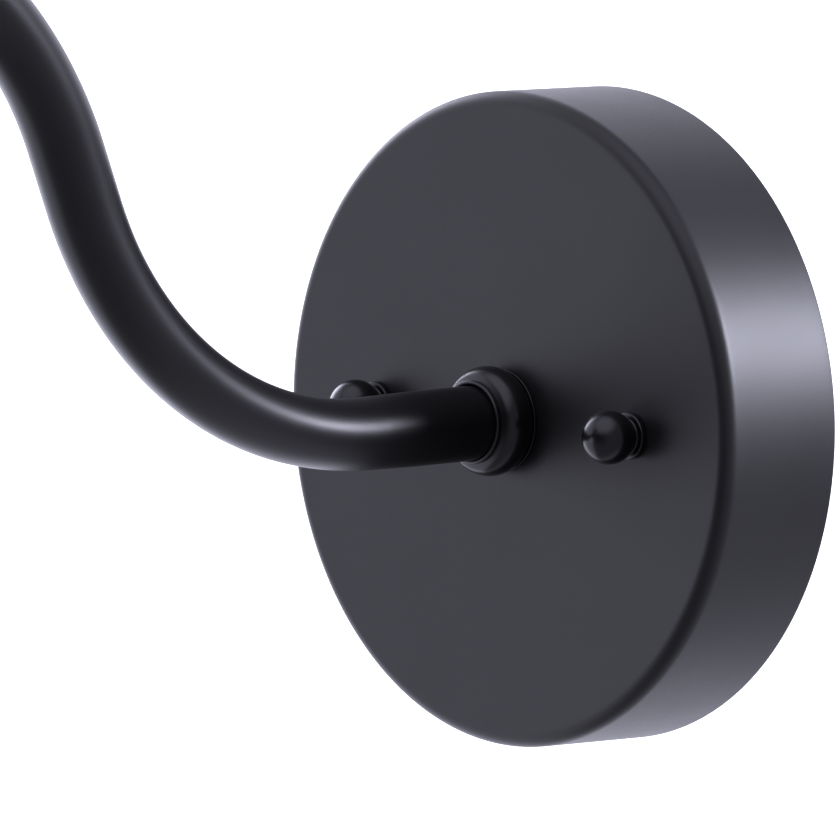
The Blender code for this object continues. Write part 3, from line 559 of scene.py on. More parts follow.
CANOPY_LOW, CANOPY_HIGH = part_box("canopy")
CANOPY_RADIUS = CANOPY_HIGH.x
CANOPY_DEPTH = -CANOPY_LOW.y
CANOPY_SHEET = 0.0012
CANOPY_EDGE = 0.003
CANOPY_HOLE = 0.0054
STUD_X = (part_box("stud_right")[0].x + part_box("stud_right")[1].x) / 2
SIDES = (("left", -STUD_X), ("right", STUD_X))
SEAT = CANOPY_DEPTH + GAP
STUD_CLEAR = 0.0023
BALL_RADIUS = 0.0053
BALL_REACH = 0.0056
STRAP_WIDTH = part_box("box_strap")[1].x * 2
STRAP_SHEET = 0.0020
STRAP_CORNER = 0.003
BOX_STRAP_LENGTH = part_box("box_strap")[1].z * 2
FIXTURE_STRAP_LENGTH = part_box("fixture_strap")[1].x * 2
STRAP_FRONT = -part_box("fixture_strap")[0].y + GAP
BOX_SLOT_SPREAD = 0.04245
WIRE_HOLE = 0.0065
GROUND_X = -0.020
TUBE_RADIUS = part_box("arm_tube")[1].x
TUBE_FULLNESS = 1.035        # the fine tube's radius over the CAD tube's
TUBE_WALL = 0.0010
TUBE_BORE = TUBE_RADIUS * TUBE_FULLNESS + 0.00005
BEND_RADIUS = 0.077
STUB_LENGTH = 0.0354
STUB_DROP = radians(1.2)
RISE_ANGLE = radians(67.6)
RISE_LENGTH = 0.0123
END_LENGTH = 0.012
PIVOT_OFFSET = 0.014
PIVOT_RADIUS = 0.0020
PIVOT_HOLE = circle(PIVOT_RADIUS + GAP, 48)
KNUCKLE_RADIUS = 0.0085
TONGUE_HALF = 0.0025
WASHER_SHEET = 0.0008
EAR_SHEET = 0.0030
NIPPLE_BORE = 0.0036
BRIDGE_TOP = -0.0099
BRIDGE_SHEET = 0.0024
FORK_SCREW_HOLE = 0.0018
FORK_SPOTS = (("left", -0.0107), ("right", 0.0107))
FORK_HOLES = [circle(FORK_SCREW_HOLE, 32, x) for _, x in FORK_SPOTS]
SHADE_RADIUS = 0.030
SHADE_SHEET = 0.0009
SHADE_HALF_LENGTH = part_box("shade")[1].x
SHADE_SKIRT = 0.010
SHADE_LIP = 0.003
SHADE_AXIS_Z = BRIDGE_TOP - BRIDGE_SHEET - GAP - SHADE_RADIUS
REFLECTOR_SPREAD = radians(72.0)
REFLECTOR_SHEET = 0.0005
LAMP_AXIS_Z = SHADE_AXIS_Z + 0.0015
SOCKET_RADIUS = 0.0095
SOCKET_BORE = 0.0070
SOCKET_BACK = 0.0008 + GAP
SOCKET_FLOOR = SOCKET_BACK + 0.006
SOCKET_MOUTH = SOCKET_BACK + 0.026
ROLL_PITCH = 0.0025
LAMP_BASE_RADIUS = 0.00595
BULB_RADIUS = 0.0098
BULB_REACH = 0.088
BULB_SHEET = 0.0008
LEAD_RADIUS = 0.0010
LEAD_SPREAD = 0.0014
GROMMET = (
    Matrix.Translation((0.0, 0.0, SHADE_AXIS_Z))
    @ Matrix.Rotation(radians(-32.0), 4, "X")
    @ Matrix.Translation((0.0, 0.0, SHADE_RADIUS))
)


def build_canopy():
    """The drawn pan: flat front, rounded edge, straight wall, and a raw sheet edge at the wall."""
    radius, front, sheet, bend = CANOPY_RADIUS, CANOPY_DEPTH, CANOPY_SHEET, CANOPY_EDGE
    inner = bend - sheet
    burr = 0.0003
    profile = [(r, front) for r in (CANOPY_HOLE, 0.020, 0.040, 0.055, radius - bend - 0.001)]
    profile += arc((radius - bend, front - bend), bend, pi / 2, 0.0, 13)
    profile += [(radius, z) for z in (front - bend - 0.001, 0.015, 0.0012)]
    profile += arc((radius - burr, burr), burr, 0.0, -pi / 2, 4)
    profile += arc((radius - sheet + burr, burr), burr, -pi / 2, -pi, 4)
    profile += [(radius - sheet, 0.015)]
    profile += arc((radius - sheet - inner, front - sheet - inner), inner, 0.0, pi / 2, 9)
    profile += [(0.040, front - sheet), (CANOPY_HOLE, front - sheet)]
    canopy = lathe("canopy_pan", profile, "wall_arm", "black_powder_coat", TO_ROOM, "canopy", 256)
    cut(canopy, [rod_cutter(0.0026, 0.020, 0.040, at_wall(x)) for _, x in SIDES])


def arm_points(step):
    """The arm's centreline from the canopy to the tube's outer end: stub, bend up, rise, bend over, end."""
    points = [Vector((0.0, -CANOPY_DEPTH - 2 * GAP, 0.0))]
    slope = -STUB_DROP
    bends = (
        (STUB_LENGTH, 0.0), (BEND_RADIUS * (RISE_ANGLE + STUB_DROP), RISE_ANGLE + STUB_DROP),
        (RISE_LENGTH, 0.0), (BEND_RADIUS * (RISE_ANGLE + END_DROP), -RISE_ANGLE - END_DROP),
        (END_LENGTH, 0.0),
    )
    bent = [0.0]
    for length, turn in bends:
        count = max(1, round(length / step))
        for _ in range(count):
            middle = slope + turn / count / 2
            points.append(points[-1] + length / count * Vector((0.0, -cos(middle), sin(middle))))
            slope += turn / count
            bent.append(1.0 if turn else 0.0)
    return points, bent


def build_arm():
    """The bent tube. Its section is a little flatter across the inside of each bend."""
    points, bent = arm_points(0.0012)
    reach = 10
    outer = []
    for i in range(len(bent)):
        near = bent[max(0, i - reach):i + reach + 1]
        soft = sum(near) / len(near)
        wide, tall = TUBE_FULLNESS + 0.010 * soft, TUBE_FULLNESS - 0.060 * soft
        outer.append((TUBE_RADIUS * wide, TUBE_RADIUS * tall))
    inner = [(wide - TUBE_WALL, tall - TUBE_WALL) for wide, tall in outer]
    build = bmesh.new()
    outside, inside = [sweep(build, points, shapes, 72, ends=False) for shapes in (outer, inner)]
    for end in (0, -1):
        skin(build, outside[end], inside[end])
    arm = finish_mesh("arm_bent_tube", build, "wall_arm", "black_powder_coat", "arm_tube")
    arm.data.materials[0] = ARM_LOOK


def build_collar():
    """The turned collar: a fine ring round the tube, a step, and a broad round bead on a small foot."""
    bead = arc((0.0, 0.0), 1.0, radians(72), radians(-62), 27)
    profile = [(TUBE_BORE, SEAT + 0.0080)]
    profile += arc((TUBE_BORE + 0.00045, SEAT + 0.00815), 0.00045, radians(150), radians(-40), 9)
    profile += [(0.00825, SEAT + 0.00735), (0.0087, SEAT + 0.00715)]
    profile += [(0.0084 + 0.0025 * wide, SEAT + 0.0036 * (1 + along)) for wide, along in bead]
    profile += rounded([(0.0096, SEAT + 0.0004, 0.0), (0.0102, SEAT + 0.0004, 0.00015),
                        (0.0102, SEAT, 0.0001), (TUBE_BORE, SEAT, 0.0)], closed=False)
    lathe("collar_turned", profile, "wall_arm", "gloss_black_paint", TO_ROOM, "arm_collar", 160)


def build_ball_nuts():
    """Ball knobs on a short neck and a round foot."""
    radius, neck, foot = BALL_RADIUS, 0.0034, 0.0046
    centre = SEAT + BALL_REACH
    bore_end = SEAT + 0.0073
    profile = arc((0.0, centre), radius, pi / 2, -acos(neck / radius), 41)
    profile[0] = (0.0, centre + radius)
    profile += rounded([(neck, SEAT + 0.0016, 0.0), (neck, SEAT + 0.0011, 0.0003),
                        (foot, SEAT + 0.0010, 0.0003), (foot, SEAT, 0.0001),
                        (STUD_CLEAR, SEAT, 0.0)], closed=False)
    profile += [(STUD_CLEAR, bore_end), (0.0, bore_end)]
    for side, x in SIDES:
        nut = f"ball_nut_{side}"
        lathe(f"cap_nut_{side}", profile, nut, "gloss_black_paint", at_wall(x), nut)


def threaded(major, depth, pitch):
    """A radius_at function that cuts a helical thread where the profile has the major radius."""
    def radius_at(_, radius, z, angle):
        if radius != major:
            return radius
        phase = (z / pitch - angle / (2 * pi)) % 1.0
        return radius - depth * abs(2 * phase - 1)
    return radius_at


def thread_steps(major, low, high, pitch):
    """Profile points down a threaded stretch, six to a turn."""
    return column(major, high, low, round((high - low) / pitch * 6))


def across(apothem, angle):
    """The distance from a hexagon's middle to its edge."""
    return apothem / cos(angle % (pi / 3) - pi / 6)


def hex_nut(name, flats, height, bore, body, matrix, replaced):
    """A hexagon nut about local Z = 0, chamfered on both faces and round its bore."""
    apothem = flats / 2
    lead_in, land = 0.0003, 0.0001

    def radius_at(index, radius, _, angle):
        return across(apothem, angle) if index in (3, 4) else radius

    def lift_at(index, angle):
        drop = (across(apothem, angle) - apothem) * tan(radians(30)) + land
        return {3: -drop, 4: drop}.get(index, 0.0)

    top = height / 2
    profile = [(bore, top - lead_in), (bore + lead_in, top), (apothem - land, top), (apothem, top)]
    profile += [(radius, -z) for radius, z in reversed(profile)]
    lathe(name, profile, body, "zinc_plate", matrix, replaced, 72, radius_at=radius_at, lift_at=lift_at)


def slot_outline(y, radius, half_travel):
    """An upright slot's outline."""
    top = arc((0.0, y + half_travel), radius, 0.0, pi, 17)
    return top + arc((0.0, y - half_travel), radius, pi, 2 * pi, 17)


def build_straps():
    """The two straps with their extra stamped holes, and the rolled eyelet."""
    wire_hole = circle(WIRE_HOLE + GAP, 64)
    upright = [block(STRAP_WIDTH / 2, BOX_STRAP_LENGTH / 2, STRAP_CORNER), wire_hole]
    level = [block(FIXTURE_STRAP_LENGTH / 2, STRAP_WIDTH / 2, STRAP_CORNER), wire_hole]
    level += [circle(0.0020, 32, x) for x in (GROUND_X, -GROUND_X)]
    for side in (-1, 1):
        upright.append(slot_outline(side * BOX_SLOT_SPREAD, 0.0025, 0.0030))
        upright.append(slot_outline(side * 0.0270, 0.0020, 0.0040))
        upright += [circle(0.0016, 32, x, side * 0.0175) for x in (-0.0050, 0.0050)]
        level.append(circle(STUD_CLEAR, 32, side * STUD_X))
        level += [circle(0.0016, 32, side * 0.0290, y) for y in (-0.0050, 0.0050)]
    for name, outlines, depth in (("box_strap", upright, STRAP_SHEET / 2),
                                  ("fixture_strap", level, STRAP_SHEET + GAP + STRAP_SHEET / 2)):
        plate(f"{name}_stamped", outlines, STRAP_SHEET, "wall_arm", "zinc_plate", at_wall(0.0, depth), name)

    bore = WIRE_HOLE - 0.0010
    top = STRAP_FRONT
    roll = arc((WIRE_HOLE + 0.0009, top + 0.0001), 0.0007, radians(180), radians(-10), 13)
    profile = [(bore, top), *arc((bore + 0.0012, top - 0.0004), 0.0012, pi, pi / 2, 6)]
    profile += [(r + 0.0002, z) for r, z in roll[7:]] + [(WIRE_HOLE, top), (WIRE_HOLE, 0.0002)]
    profile += [(WIRE_HOLE - 0.0002, 0.0), (bore + 0.0002, 0.0), (bore, 0.0002)]
    lathe("eyelet_rolled", profile, "wall_arm", "brass", TO_ROOM, "strap_eyelet")


def build_fasteners():
    """Threaded studs with their locknuts, and the green ground screw with its hexagon washer head."""
    major, depth, pitch = 0.0020, 0.00035, 0.0007
    low, high = 0.0008, CANOPY_DEPTH + 0.0070
    end = major - depth - 0.0001
    stud = [(0.0, high), (end, high), *thread_steps(major, low + 0.0004, high - 0.0004, pitch)]
    stud += [(end, low), (0.0, low)]
    for side, x in SIDES:
        lathe(f"stud_threaded_{side}", stud, "wall_arm", "zinc_plate", at_wall(x), f"stud_{side}", 32,
              radius_at=threaded(major, depth, pitch))
        hex_nut(f"locknut_{side}", 0.007, 0.0032, 0.00205, "wall_arm",
                at_wall(x, STRAP_FRONT + 0.0016), f"stud_locknut_{side}")

    apothem, major = 0.0027, 0.0017
    top = STRAP_FRONT + 0.0024
    thread = threaded(major, 0.0003, pitch)

    def radius_at(index, radius, z, angle):
        return across(apothem, angle) if index in (2, 3) else thread(index, radius, z, angle)

    profile = [(0.0, top), (apothem - 0.0002, top), (apothem, top - 0.0003), (apothem, STRAP_FRONT + 0.0009)]
    profile += [(0.0034, STRAP_FRONT + 0.0006), (0.0036, STRAP_FRONT + 0.0003), (0.0035, STRAP_FRONT)]
    profile += thread_steps(major, 0.0026, STRAP_FRONT, pitch) + [(0.0012, 0.0024), (0.0, 0.0024)]
    screw = lathe("ground_screw_hex", profile, "wall_arm", "green_ground", at_wall(GROUND_X),
                  "ground_screw", 48, radius_at=radius_at)
    cut(screw, [box_cutter((0.0045, 0.0004, 0.0008), at_wall(GROUND_X, top))])


def build_nipple():
    """The threaded nipple, its toothed lock washer and its nut."""
    plug_end = CANOPY_DEPTH + 0.013
    inner_end = 0.0185
    major, plug, pitch = 0.0050, 0.0055, 0.0010
    profile = [(NIPPLE_BORE, plug_end), (plug, plug_end), (plug, SEAT), (major - 0.0006, SEAT)]
    profile += thread_steps(major, inner_end + 0.0006, SEAT - 0.0002, pitch)
    profile += [(major - 0.0007, inner_end), (NIPPLE_BORE, inner_end)]
    lathe("nipple_threaded", profile, "wall_arm", "zinc_plate", TO_ROOM, "arm_nipple", 72,
          radius_at=threaded(major, 0.0005, pitch))

    teeth = 18
    outline = []
    for tooth in range(teeth):
        middle = 2 * pi * tooth / teeth
        for turn, radius in ((-0.32, 0.0073), (-0.22, 0.0085), (0.22, 0.0085), (0.32, 0.0073)):
            angle = middle + turn * 2 * pi / teeth
            outline.append((radius * cos(angle), radius * sin(angle)))
    washer_middle = CANOPY_DEPTH - CANOPY_SHEET - GAP - 0.0006
    plate("lock_washer_toothed", [outline, circle(0.0053, 64)], 0.0010, "wall_arm", "zinc_plate",
          at_wall(0.0, washer_middle), "nipple_lock_washer")
    nut_middle = washer_middle - 0.0006 - GAP - 0.0017
    hex_nut("nipple_nut", 0.014, 0.0034, 0.00505, "wall_arm", at_wall(0.0, nut_middle), "nipple_hex_nut")


def lead(name, points, radius, body, slot, replaced, matrix=None):
    """An insulated lead along the points."""
    build = bmesh.new()
    wire(build, points, radius, 20)
    finish_mesh(name, build, body, slot, replaced, matrix)


def build_leads():
    """Live and neutral from their wire nuts up the arm, and the ground lead inside the canopy."""
    along, _ = arm_points(0.004)
    for side, x, slot in (("live", 1, "black_insulation"), ("neutral", -1, "white_insulation")):
        offset = Vector((x * LEAD_SPREAD, 0.0, 0.0))
        in_canopy = [
            (x * 0.023, -0.014, -0.024), (x * 0.015, -0.014, -0.0235), (x * 0.008, -0.012, -0.018),
            (x * 0.0035, -0.011, -0.008), (x * LEAD_SPREAD, -0.0145, -0.001), (x * LEAD_SPREAD, -0.022, 0.0),
        ]
        lead(f"lead_{side}_run", catmull(in_canopy, 8) + [p + offset for p in along], LEAD_RADIUS,
             "wall_arm", slot, f"lead_{side}")
        build_wire_nut(side, (x * 0.016, -0.014, -0.024), SIDEWAYS[x])

    beside_screw = GROUND_X + 0.0050
    route = [
        (beside_screw, -0.0060, 0.0), (beside_screw, -0.0075, 0.008), (-0.012, -0.012, 0.017),
        (-0.006, -0.0145, 0.0245), (0.002, -0.015, 0.026), (0.010, -0.015, 0.026),
    ]
    lead("lead_ground_run", catmull(route, 10), LEAD_RADIUS, "wall_arm", "green_insulation", "lead_ground")
    build_wire_nut("ground", (0.003, -0.015, 0.026), TO_RIGHT)


def build_wire_nut(side, mouth, turn):
    """A tapered wire nut: a smooth skirt, ribbed grip and domed end."""
    length, cavity = 0.020, 0.012
    ribs = 16

    def radius_at(_, radius, z, angle):
        if radius < 0.0027 or z < 0.0045:
            return radius
        grip = min(max((z - 0.0050) / 0.001, 0.0), 1.0) * min(max((length - 0.0015 - z) / 0.0015, 0.0), 1.0)
        return radius - grip * 0.0003 * wave(ribs * angle) ** 2

    profile = [(0.0, length)] + arc((0.0016, length - 0.0012), 0.0012, pi / 2, 0.25, 6)
    profile += [(0.0028 + 0.0022 * t, length - 0.0022 - t * 0.0130) for t in (0.0, 0.2, 0.4, 0.6, 0.8, 1.0)]
    profile += [(0.0052, 0.0042), (0.0054, 0.0030), (0.0054, 0.0004), (0.0052, 0.0), (0.0036, 0.0)]
    profile += [(0.0034, 0.0003), (0.0022, cavity), (0.0, cavity)]
    place = Matrix.Translation(mouth) @ turn
    lathe(f"wire_nut_ribbed_{side}", profile, "wall_arm", "wire_nut_plastic", place, f"wire_nut_{side}",
          radius_at=radius_at)


def build_knuckle_base():
    """The sleeve on the tube's end, with a rounded rim and a turned groove, and the knuckle's tongue."""
    low = PIVOT_OFFSET - 0.0047
    high = PIVOT_OFFSET + 0.0080
    outer = TUBE_RADIUS + 0.0014
    groove = outer - 0.0004
    floor = PIVOT_OFFSET - GAP
    profile = rounded([(TUBE_BORE, high, 0.0), (outer, high, 0.0005), (outer, high - 0.0020, 0.0001),
                       (groove, high - 0.0024, 0.0001), (groove, high - 0.0028, 0.0001),
                       (outer, high - 0.0032, 0.0001), (outer, low, 0.0018), (NIPPLE_BORE, low, 0.0002),
                       (NIPPLE_BORE, floor, 0.0), (TUBE_BORE, floor, 0.0)], closed=False)
    lathe("knuckle_sleeve", profile, "wall_arm", "gloss_black_paint", ARM_END, "knuckle_base", 128)
    top = low + 0.0012
    outline = arc((0.0, 0.0), KNUCKLE_RADIUS, pi, 2 * pi, 49)
    outline += rounded([(KNUCKLE_RADIUS, 0.0, 0.0), (KNUCKLE_RADIUS - 0.0006, 0.006, 0.004),
                        (KNUCKLE_RADIUS - 0.0015, top, 0.0)], closed=False)[1:]
    outline += [(-x, y) for x, y in outline[:48:-1]][:-1]
    plate("knuckle_tongue", [outline, PIVOT_HOLE], 2 * TONGUE_HALF, "wall_arm", "gloss_black_paint",
          ARM_END @ UPRIGHT, edge=0.0003)


def build_fork():
    """The fork: a bridge plate, two rounded ears and the fibre washers. Gives where the pivot screw seats."""
    inner = TONGUE_HALF + WASHER_SHEET + 2 * GAP
    half_x, half_y = 0.015, 0.007
    plate("fork_bridge", [block(half_x, half_y, 0.0030), *FORK_HOLES], BRIDGE_SHEET, "head",
          "gloss_black_paint", in_head(z=BRIDGE_TOP - BRIDGE_SHEET / 2), "knuckle_fork", edge=0.0004)
    foot = half_y - 0.0003
    left = rounded([(-KNUCKLE_RADIUS, -0.0020, 0.0), (-foot + 0.0004, -0.0070, 0.003),
                    (-foot, BRIDGE_TOP - 0.0004, 0.0)], closed=False)
    ear = arc((0.0, 0.0), KNUCKLE_RADIUS, radians(-8), radians(188), 49)
    ear += left + mirrored(left)
    for side, sign in HANDS:
        plate(f"fork_ear_{side}", [ear, PIVOT_HOLE], EAR_SHEET, "head", "gloss_black_paint",
              in_head(sign * (inner + EAR_SHEET / 2)) @ UPRIGHT, edge=0.0004)
        plate(f"fibre_washer_{side}", [circle(KNUCKLE_RADIUS - 0.0012, 72), PIVOT_HOLE], WASHER_SHEET,
              "head", "black_fibre", in_head(sign * (TONGUE_HALF + GAP + WASHER_SHEET / 2)) @ UPRIGHT,
              f"friction_washer_{side}", edge=0.0001)
    return inner + EAR_SHEET + GAP


def build_pivot(seat):
    """The pivot screw with a domed head and hexagon socket, and the knurled thumb knob."""
    end = seat + 0.0070
    head = 0.0042
    across_socket = 0.0025
    profile = [(0.0, end), (0.0016, end), (PIVOT_RADIUS, end - 0.0004), (PIVOT_RADIUS, -seat)]
    profile += [(head - 0.0002, -seat), (head, -seat - 0.0002), (head, -seat - 0.0012)]
    profile += [(head * cos(a), -seat - 0.0012 - 0.0016 * sin(a)) for a in (0.25, 0.5, 0.75, 1.0, 1.25)]
    profile += [(0.0, -seat - 0.0028)]
    axis = HEAD @ TO_RIGHT
    screw = lathe("pivot_screw_domed", profile, "head", "gloss_black_paint", axis, "pivot_screw", 64)
    cut(screw, [rod_cutter(across_socket / sqrt(3), -seat - 0.0040, -seat - 0.0010, axis, 6)])

    outer, length = 0.0064, 0.0095
    grips = 30

    def radius_at(index, radius, z, angle):
        return radius if radius < outer - 0.0001 else radius - 0.00035 * wave(grips * angle)

    bore = PIVOT_RADIUS + GAP
    top = seat + length
    profile = [(0.0, top - 0.0004), (0.0030, top - 0.0004), (0.0036, top)]
    profile += arc((outer - 0.0014, top - 0.0010), 0.0010, pi / 2, 0.2, 7)
    profile += [(outer, top - 0.0016), (outer, seat + 0.0035), (outer - 0.0006, seat + 0.0030)]
    profile += [(0.0048, seat + 0.0024), (0.0048, seat + 0.0002), (0.0046, seat), (bore, seat)]
    profile += [(bore, top - 0.0020), (0.0, top - 0.0020)]
    lathe("knob_knurled", profile, "knob", "gloss_black_paint", axis, "thumb_knob", 240, radius_at=radius_at)


def head_cutters(grommet_radius, grommet_low):
    """Cutters for the two fork screws and for the grommet, through the top of the shade."""
    cutters = [rod_cutter(FORK_SCREW_HOLE, SHADE_AXIS_Z + 0.020, 0.0, in_head(x)) for _, x in FORK_SPOTS]
    return cutters + [rod_cutter(grommet_radius, grommet_low, 0.006, HEAD @ GROMMET)]


def build_shade():
    """The shade with rolled lips, its pressed end caps and the reflector."""
    low = SHADE_AXIS_Z - SHADE_SKIRT
    right = rounded([(SHADE_RADIUS - SHADE_LIP, low, 0.0), (SHADE_RADIUS, low, 0.0016),
                     (SHADE_RADIUS, SHADE_AXIS_Z, 0.0)], closed=False)[:-1]
    path = right + arc((0.0, SHADE_AXIS_Z), SHADE_RADIUS, 0.0, pi, 97) + mirrored(right)
    bent_sheet("shade_rolled", path, SHADE_SHEET, SHADE_HALF_LENGTH, "black_powder_coat", "shade",
               head_cutters(0.0032, -0.006))

    inner = SHADE_RADIUS - SHADE_SHEET - GAP
    cap_low = low + SHADE_SHEET + GAP
    right = rounded([(0.0, cap_low, 0.0), (inner, cap_low, 0.0018), (inner, SHADE_AXIS_Z, 0.0)],
                    closed=False)[1:-1]
    outline = right + arc((0.0, SHADE_AXIS_Z), inner, 0.0, pi, 73) + mirrored(right)
    for side, sign in HANDS:
        build_end_cap(side, sign, outline)

    path = arc((0.0, SHADE_AXIS_Z), inner - GAP, pi / 2 - REFLECTOR_SPREAD, pi / 2 + REFLECTOR_SPREAD, 81)
    bent_sheet("reflector_bright", path, REFLECTOR_SHEET, 0.090, "bright_aluminium", "reflector",
               head_cutters(0.0052, -0.008))


def build_end_cap(side, sign, outline):
    """A pressed end cap: a flat face, a rounded edge and a flange that points inwards."""
    corners = [Vector(p) for p in outline]
    inwards = left_sides(corners, closed=True)
    face_x = SHADE_HALF_LENGTH - 0.0004
    bend, sheet = 0.0014, 0.0009
    centre = (face_x - bend, bend)
    section = [(face_x - 0.006, sheet), (face_x - 0.006, 0.0), *arc(centre, bend, -pi / 2, 0.0, 9)]
    hollow = arc(centre, bend - sheet, 0.0, -pi / 2, 5)
    build = bmesh.new()
    rings = []
    for x, inset in section + hollow:
        rings.append([build.verts.new((sign * x, *(c + n * inset))) for c, n in zip(corners, inwards)])
    turns = len(section)
    pairs = list(zip(rings[:turns], rings[1:turns])) + list(zip(rings[turns:], rings[turns + 1:]))
    for first, second in [*pairs, (rings[-1], rings[0])]:
        skin(build, first, second)
    build.faces.new(rings[turns - 1])
    build.faces.new(rings[turns])
    finish_mesh(f"end_cap_pressed_{side}", build, "head", "black_powder_coat", f"end_cap_{side}", HEAD)


def build_bracket():
    """The lamp bracket with its flange and rounded web, and the screws and nuts of the fork."""
    inner_top = SHADE_AXIS_Z + SHADE_RADIUS - SHADE_SHEET - REFLECTOR_SHEET - 2 * GAP - 0.0009
    sheet = 0.0016
    plate("bracket_flange", [block(0.015, 0.006, 0.002), *FORK_HOLES], sheet, "head", "zinc_plate",
          in_head(z=inner_top - sheet / 2), "lamp_bracket")
    low = LAMP_AXIS_Z - SOCKET_RADIUS + 0.002
    top = inner_top - sheet / 2
    half_x, half_y = 0.0055, (top - low) / 2
    web = rounded([(-half_x, -half_y, 0.003), (half_x, -half_y, 0.003),
                   (half_x, half_y, 0.0), (-half_x, half_y, 0.0)])
    plate("bracket_web", [web], sheet, "head", "zinc_plate", in_head(z=(top + low) / 2) @ UPRIGHT)

    head_low = BRIDGE_TOP + GAP
    nut_top = inner_top - sheet - GAP
    end = nut_top - 0.0032
    major, pitch = 0.0015, 0.0005
    profile = [(0.0, head_low + 0.0020)]
    profile += [(0.0026 * sin(a), head_low + 0.0006 + 0.0014 * cos(a)) for a in (0.3, 0.6, 0.9, 1.2, 1.5)]
    profile += [(0.0026, head_low + 0.0002), (0.0025, head_low)]
    profile += thread_steps(major, end + 0.0003, head_low, pitch) + [(0.0011, end), (0.0, end)]
    for (side, x), turn in zip(FORK_SPOTS, (0.6, 1.9)):
        screw = lathe(f"fork_screw_cross_{side}", profile, "head", "zinc_plate", in_head(x),
                      f"fork_screw_{side}", 40, radius_at=threaded(major, 0.00025, pitch))
        cross = in_head(x, head_low + 0.0020) @ Matrix.Rotation(turn, 4, "Z")
        blades = ((0.0015, 0.00028, 0.0009), (0.00028, 0.0015, 0.0009))
        cut(screw, [box_cutter(half, cross) for half in blades])
        hex_nut(f"fork_hex_nut_{side}", 0.0055, 0.0024, 0.00155, "head", in_head(x, nut_top - 0.0012),
                f"fork_nut_{side}")


def build_lamps():
    """The sockets, their contacts, the lamps, the leads and the grommet."""
    for side, sign in HANDS:
        axis = in_head(z=LAMP_AXIS_Z) @ SIDEWAYS[sign]
        build_socket(side, axis)
        build_lamp(side, axis)
        route = [
            *(GROMMET @ Vector((sign * LEAD_SPREAD, 0.0, z)) for z in (0.0045, -0.0045)),
            (sign * 0.0040, 0.0130, -0.0270), (sign * 0.0075, 0.0118, -0.0330),
            (sign * 0.0090, 0.0105, LAMP_AXIS_Z),
        ]
        lead(f"lead_head_{side}_run", catmull(route, 10), LEAD_RADIUS * 0.8, "head", "black_insulation",
             f"lead_head_{side}", HEAD)
    profile = rounded([(0.0026, 0.0016, 0.0005), (0.0044, 0.0016, 0.0006), (0.0044, 0.0004, 0.0002),
                       (0.0029, 0.0004, 0.0001), (0.0029, -0.0014, 0.0001), (0.0043, -0.0014, 0.0004),
                       (0.0040, -0.0032, 0.0005), (0.0026, -0.0032, 0.0003)], steps=4)
    lathe("grommet_rubber", profile, "head", "black_rubber", HEAD @ GROMMET, "lead_grommet", 64)


def rolled_phase(z, angle):
    """Where a point lies in the waves of a rolled lamp thread, in radians."""
    return 2 * pi * (z / ROLL_PITCH - angle / (2 * pi))


def build_socket(side, axis):
    """A phenolic socket with a ribbed grip, its rolled screw shell and its centre contact."""
    back, floor, mouth = SOCKET_BACK, SOCKET_FLOOR, SOCKET_MOUTH
    outer = SOCKET_RADIUS
    ribs = 24

    def radius_at(index, radius, z, angle):
        grip = radius > outer - 0.00005 and back + 0.0065 < z < mouth - 0.0065
        return radius - 0.00045 * wave(ribs * angle) if grip else radius

    profile = rounded([(SOCKET_BORE, mouth, 0.0003), (outer, mouth, 0.0006), (outer, mouth - 0.0060, 0.0002),
                       (outer - 0.0006, mouth - 0.0063, 0.0002)], closed=False)
    profile += [(outer, mouth - 0.0068), (outer, back + 0.0067)]
    profile += rounded([(outer - 0.0006, back + 0.0062, 0.0002), (outer, back + 0.0059, 0.0002),
                        (outer, back, 0.0005), (0.0030, back, 0.0002), (0.0030, floor, 0.0002),
                        (SOCKET_BORE, floor, 0.0)], closed=False)
    lathe(f"socket_moulded_{side}", profile, "head", "phenolic", axis, f"socket_{side}", 192,
          radius_at=radius_at)

    relief, wall = 0.0003, 0.0004
    outside = column(SOCKET_BORE - GAP - relief, mouth - 0.001, floor + 0.003, 36)
    inside = [(r - wall, z) for r, z in reversed(outside)]

    def rolled(_, radius, z, angle):
        return radius + relief * cos(rolled_phase(z, angle))

    lathe(f"socket_shell_rolled_{side}", outside + inside, "head", "brass", axis, f"socket_shell_{side}", 72,
          radius_at=rolled)
    contact = [(0.0, floor + 0.0022), (0.0012, floor + 0.0020), (0.0019, floor + 0.0014),
               (0.0020, floor + 0.0008), (0.0020, back + 0.0022), (0.0018, back + 0.002),
               (0.0, back + 0.002)]
    lathe(f"socket_contact_domed_{side}", contact, "head", "brass", axis, f"socket_contact_{side}", 48)


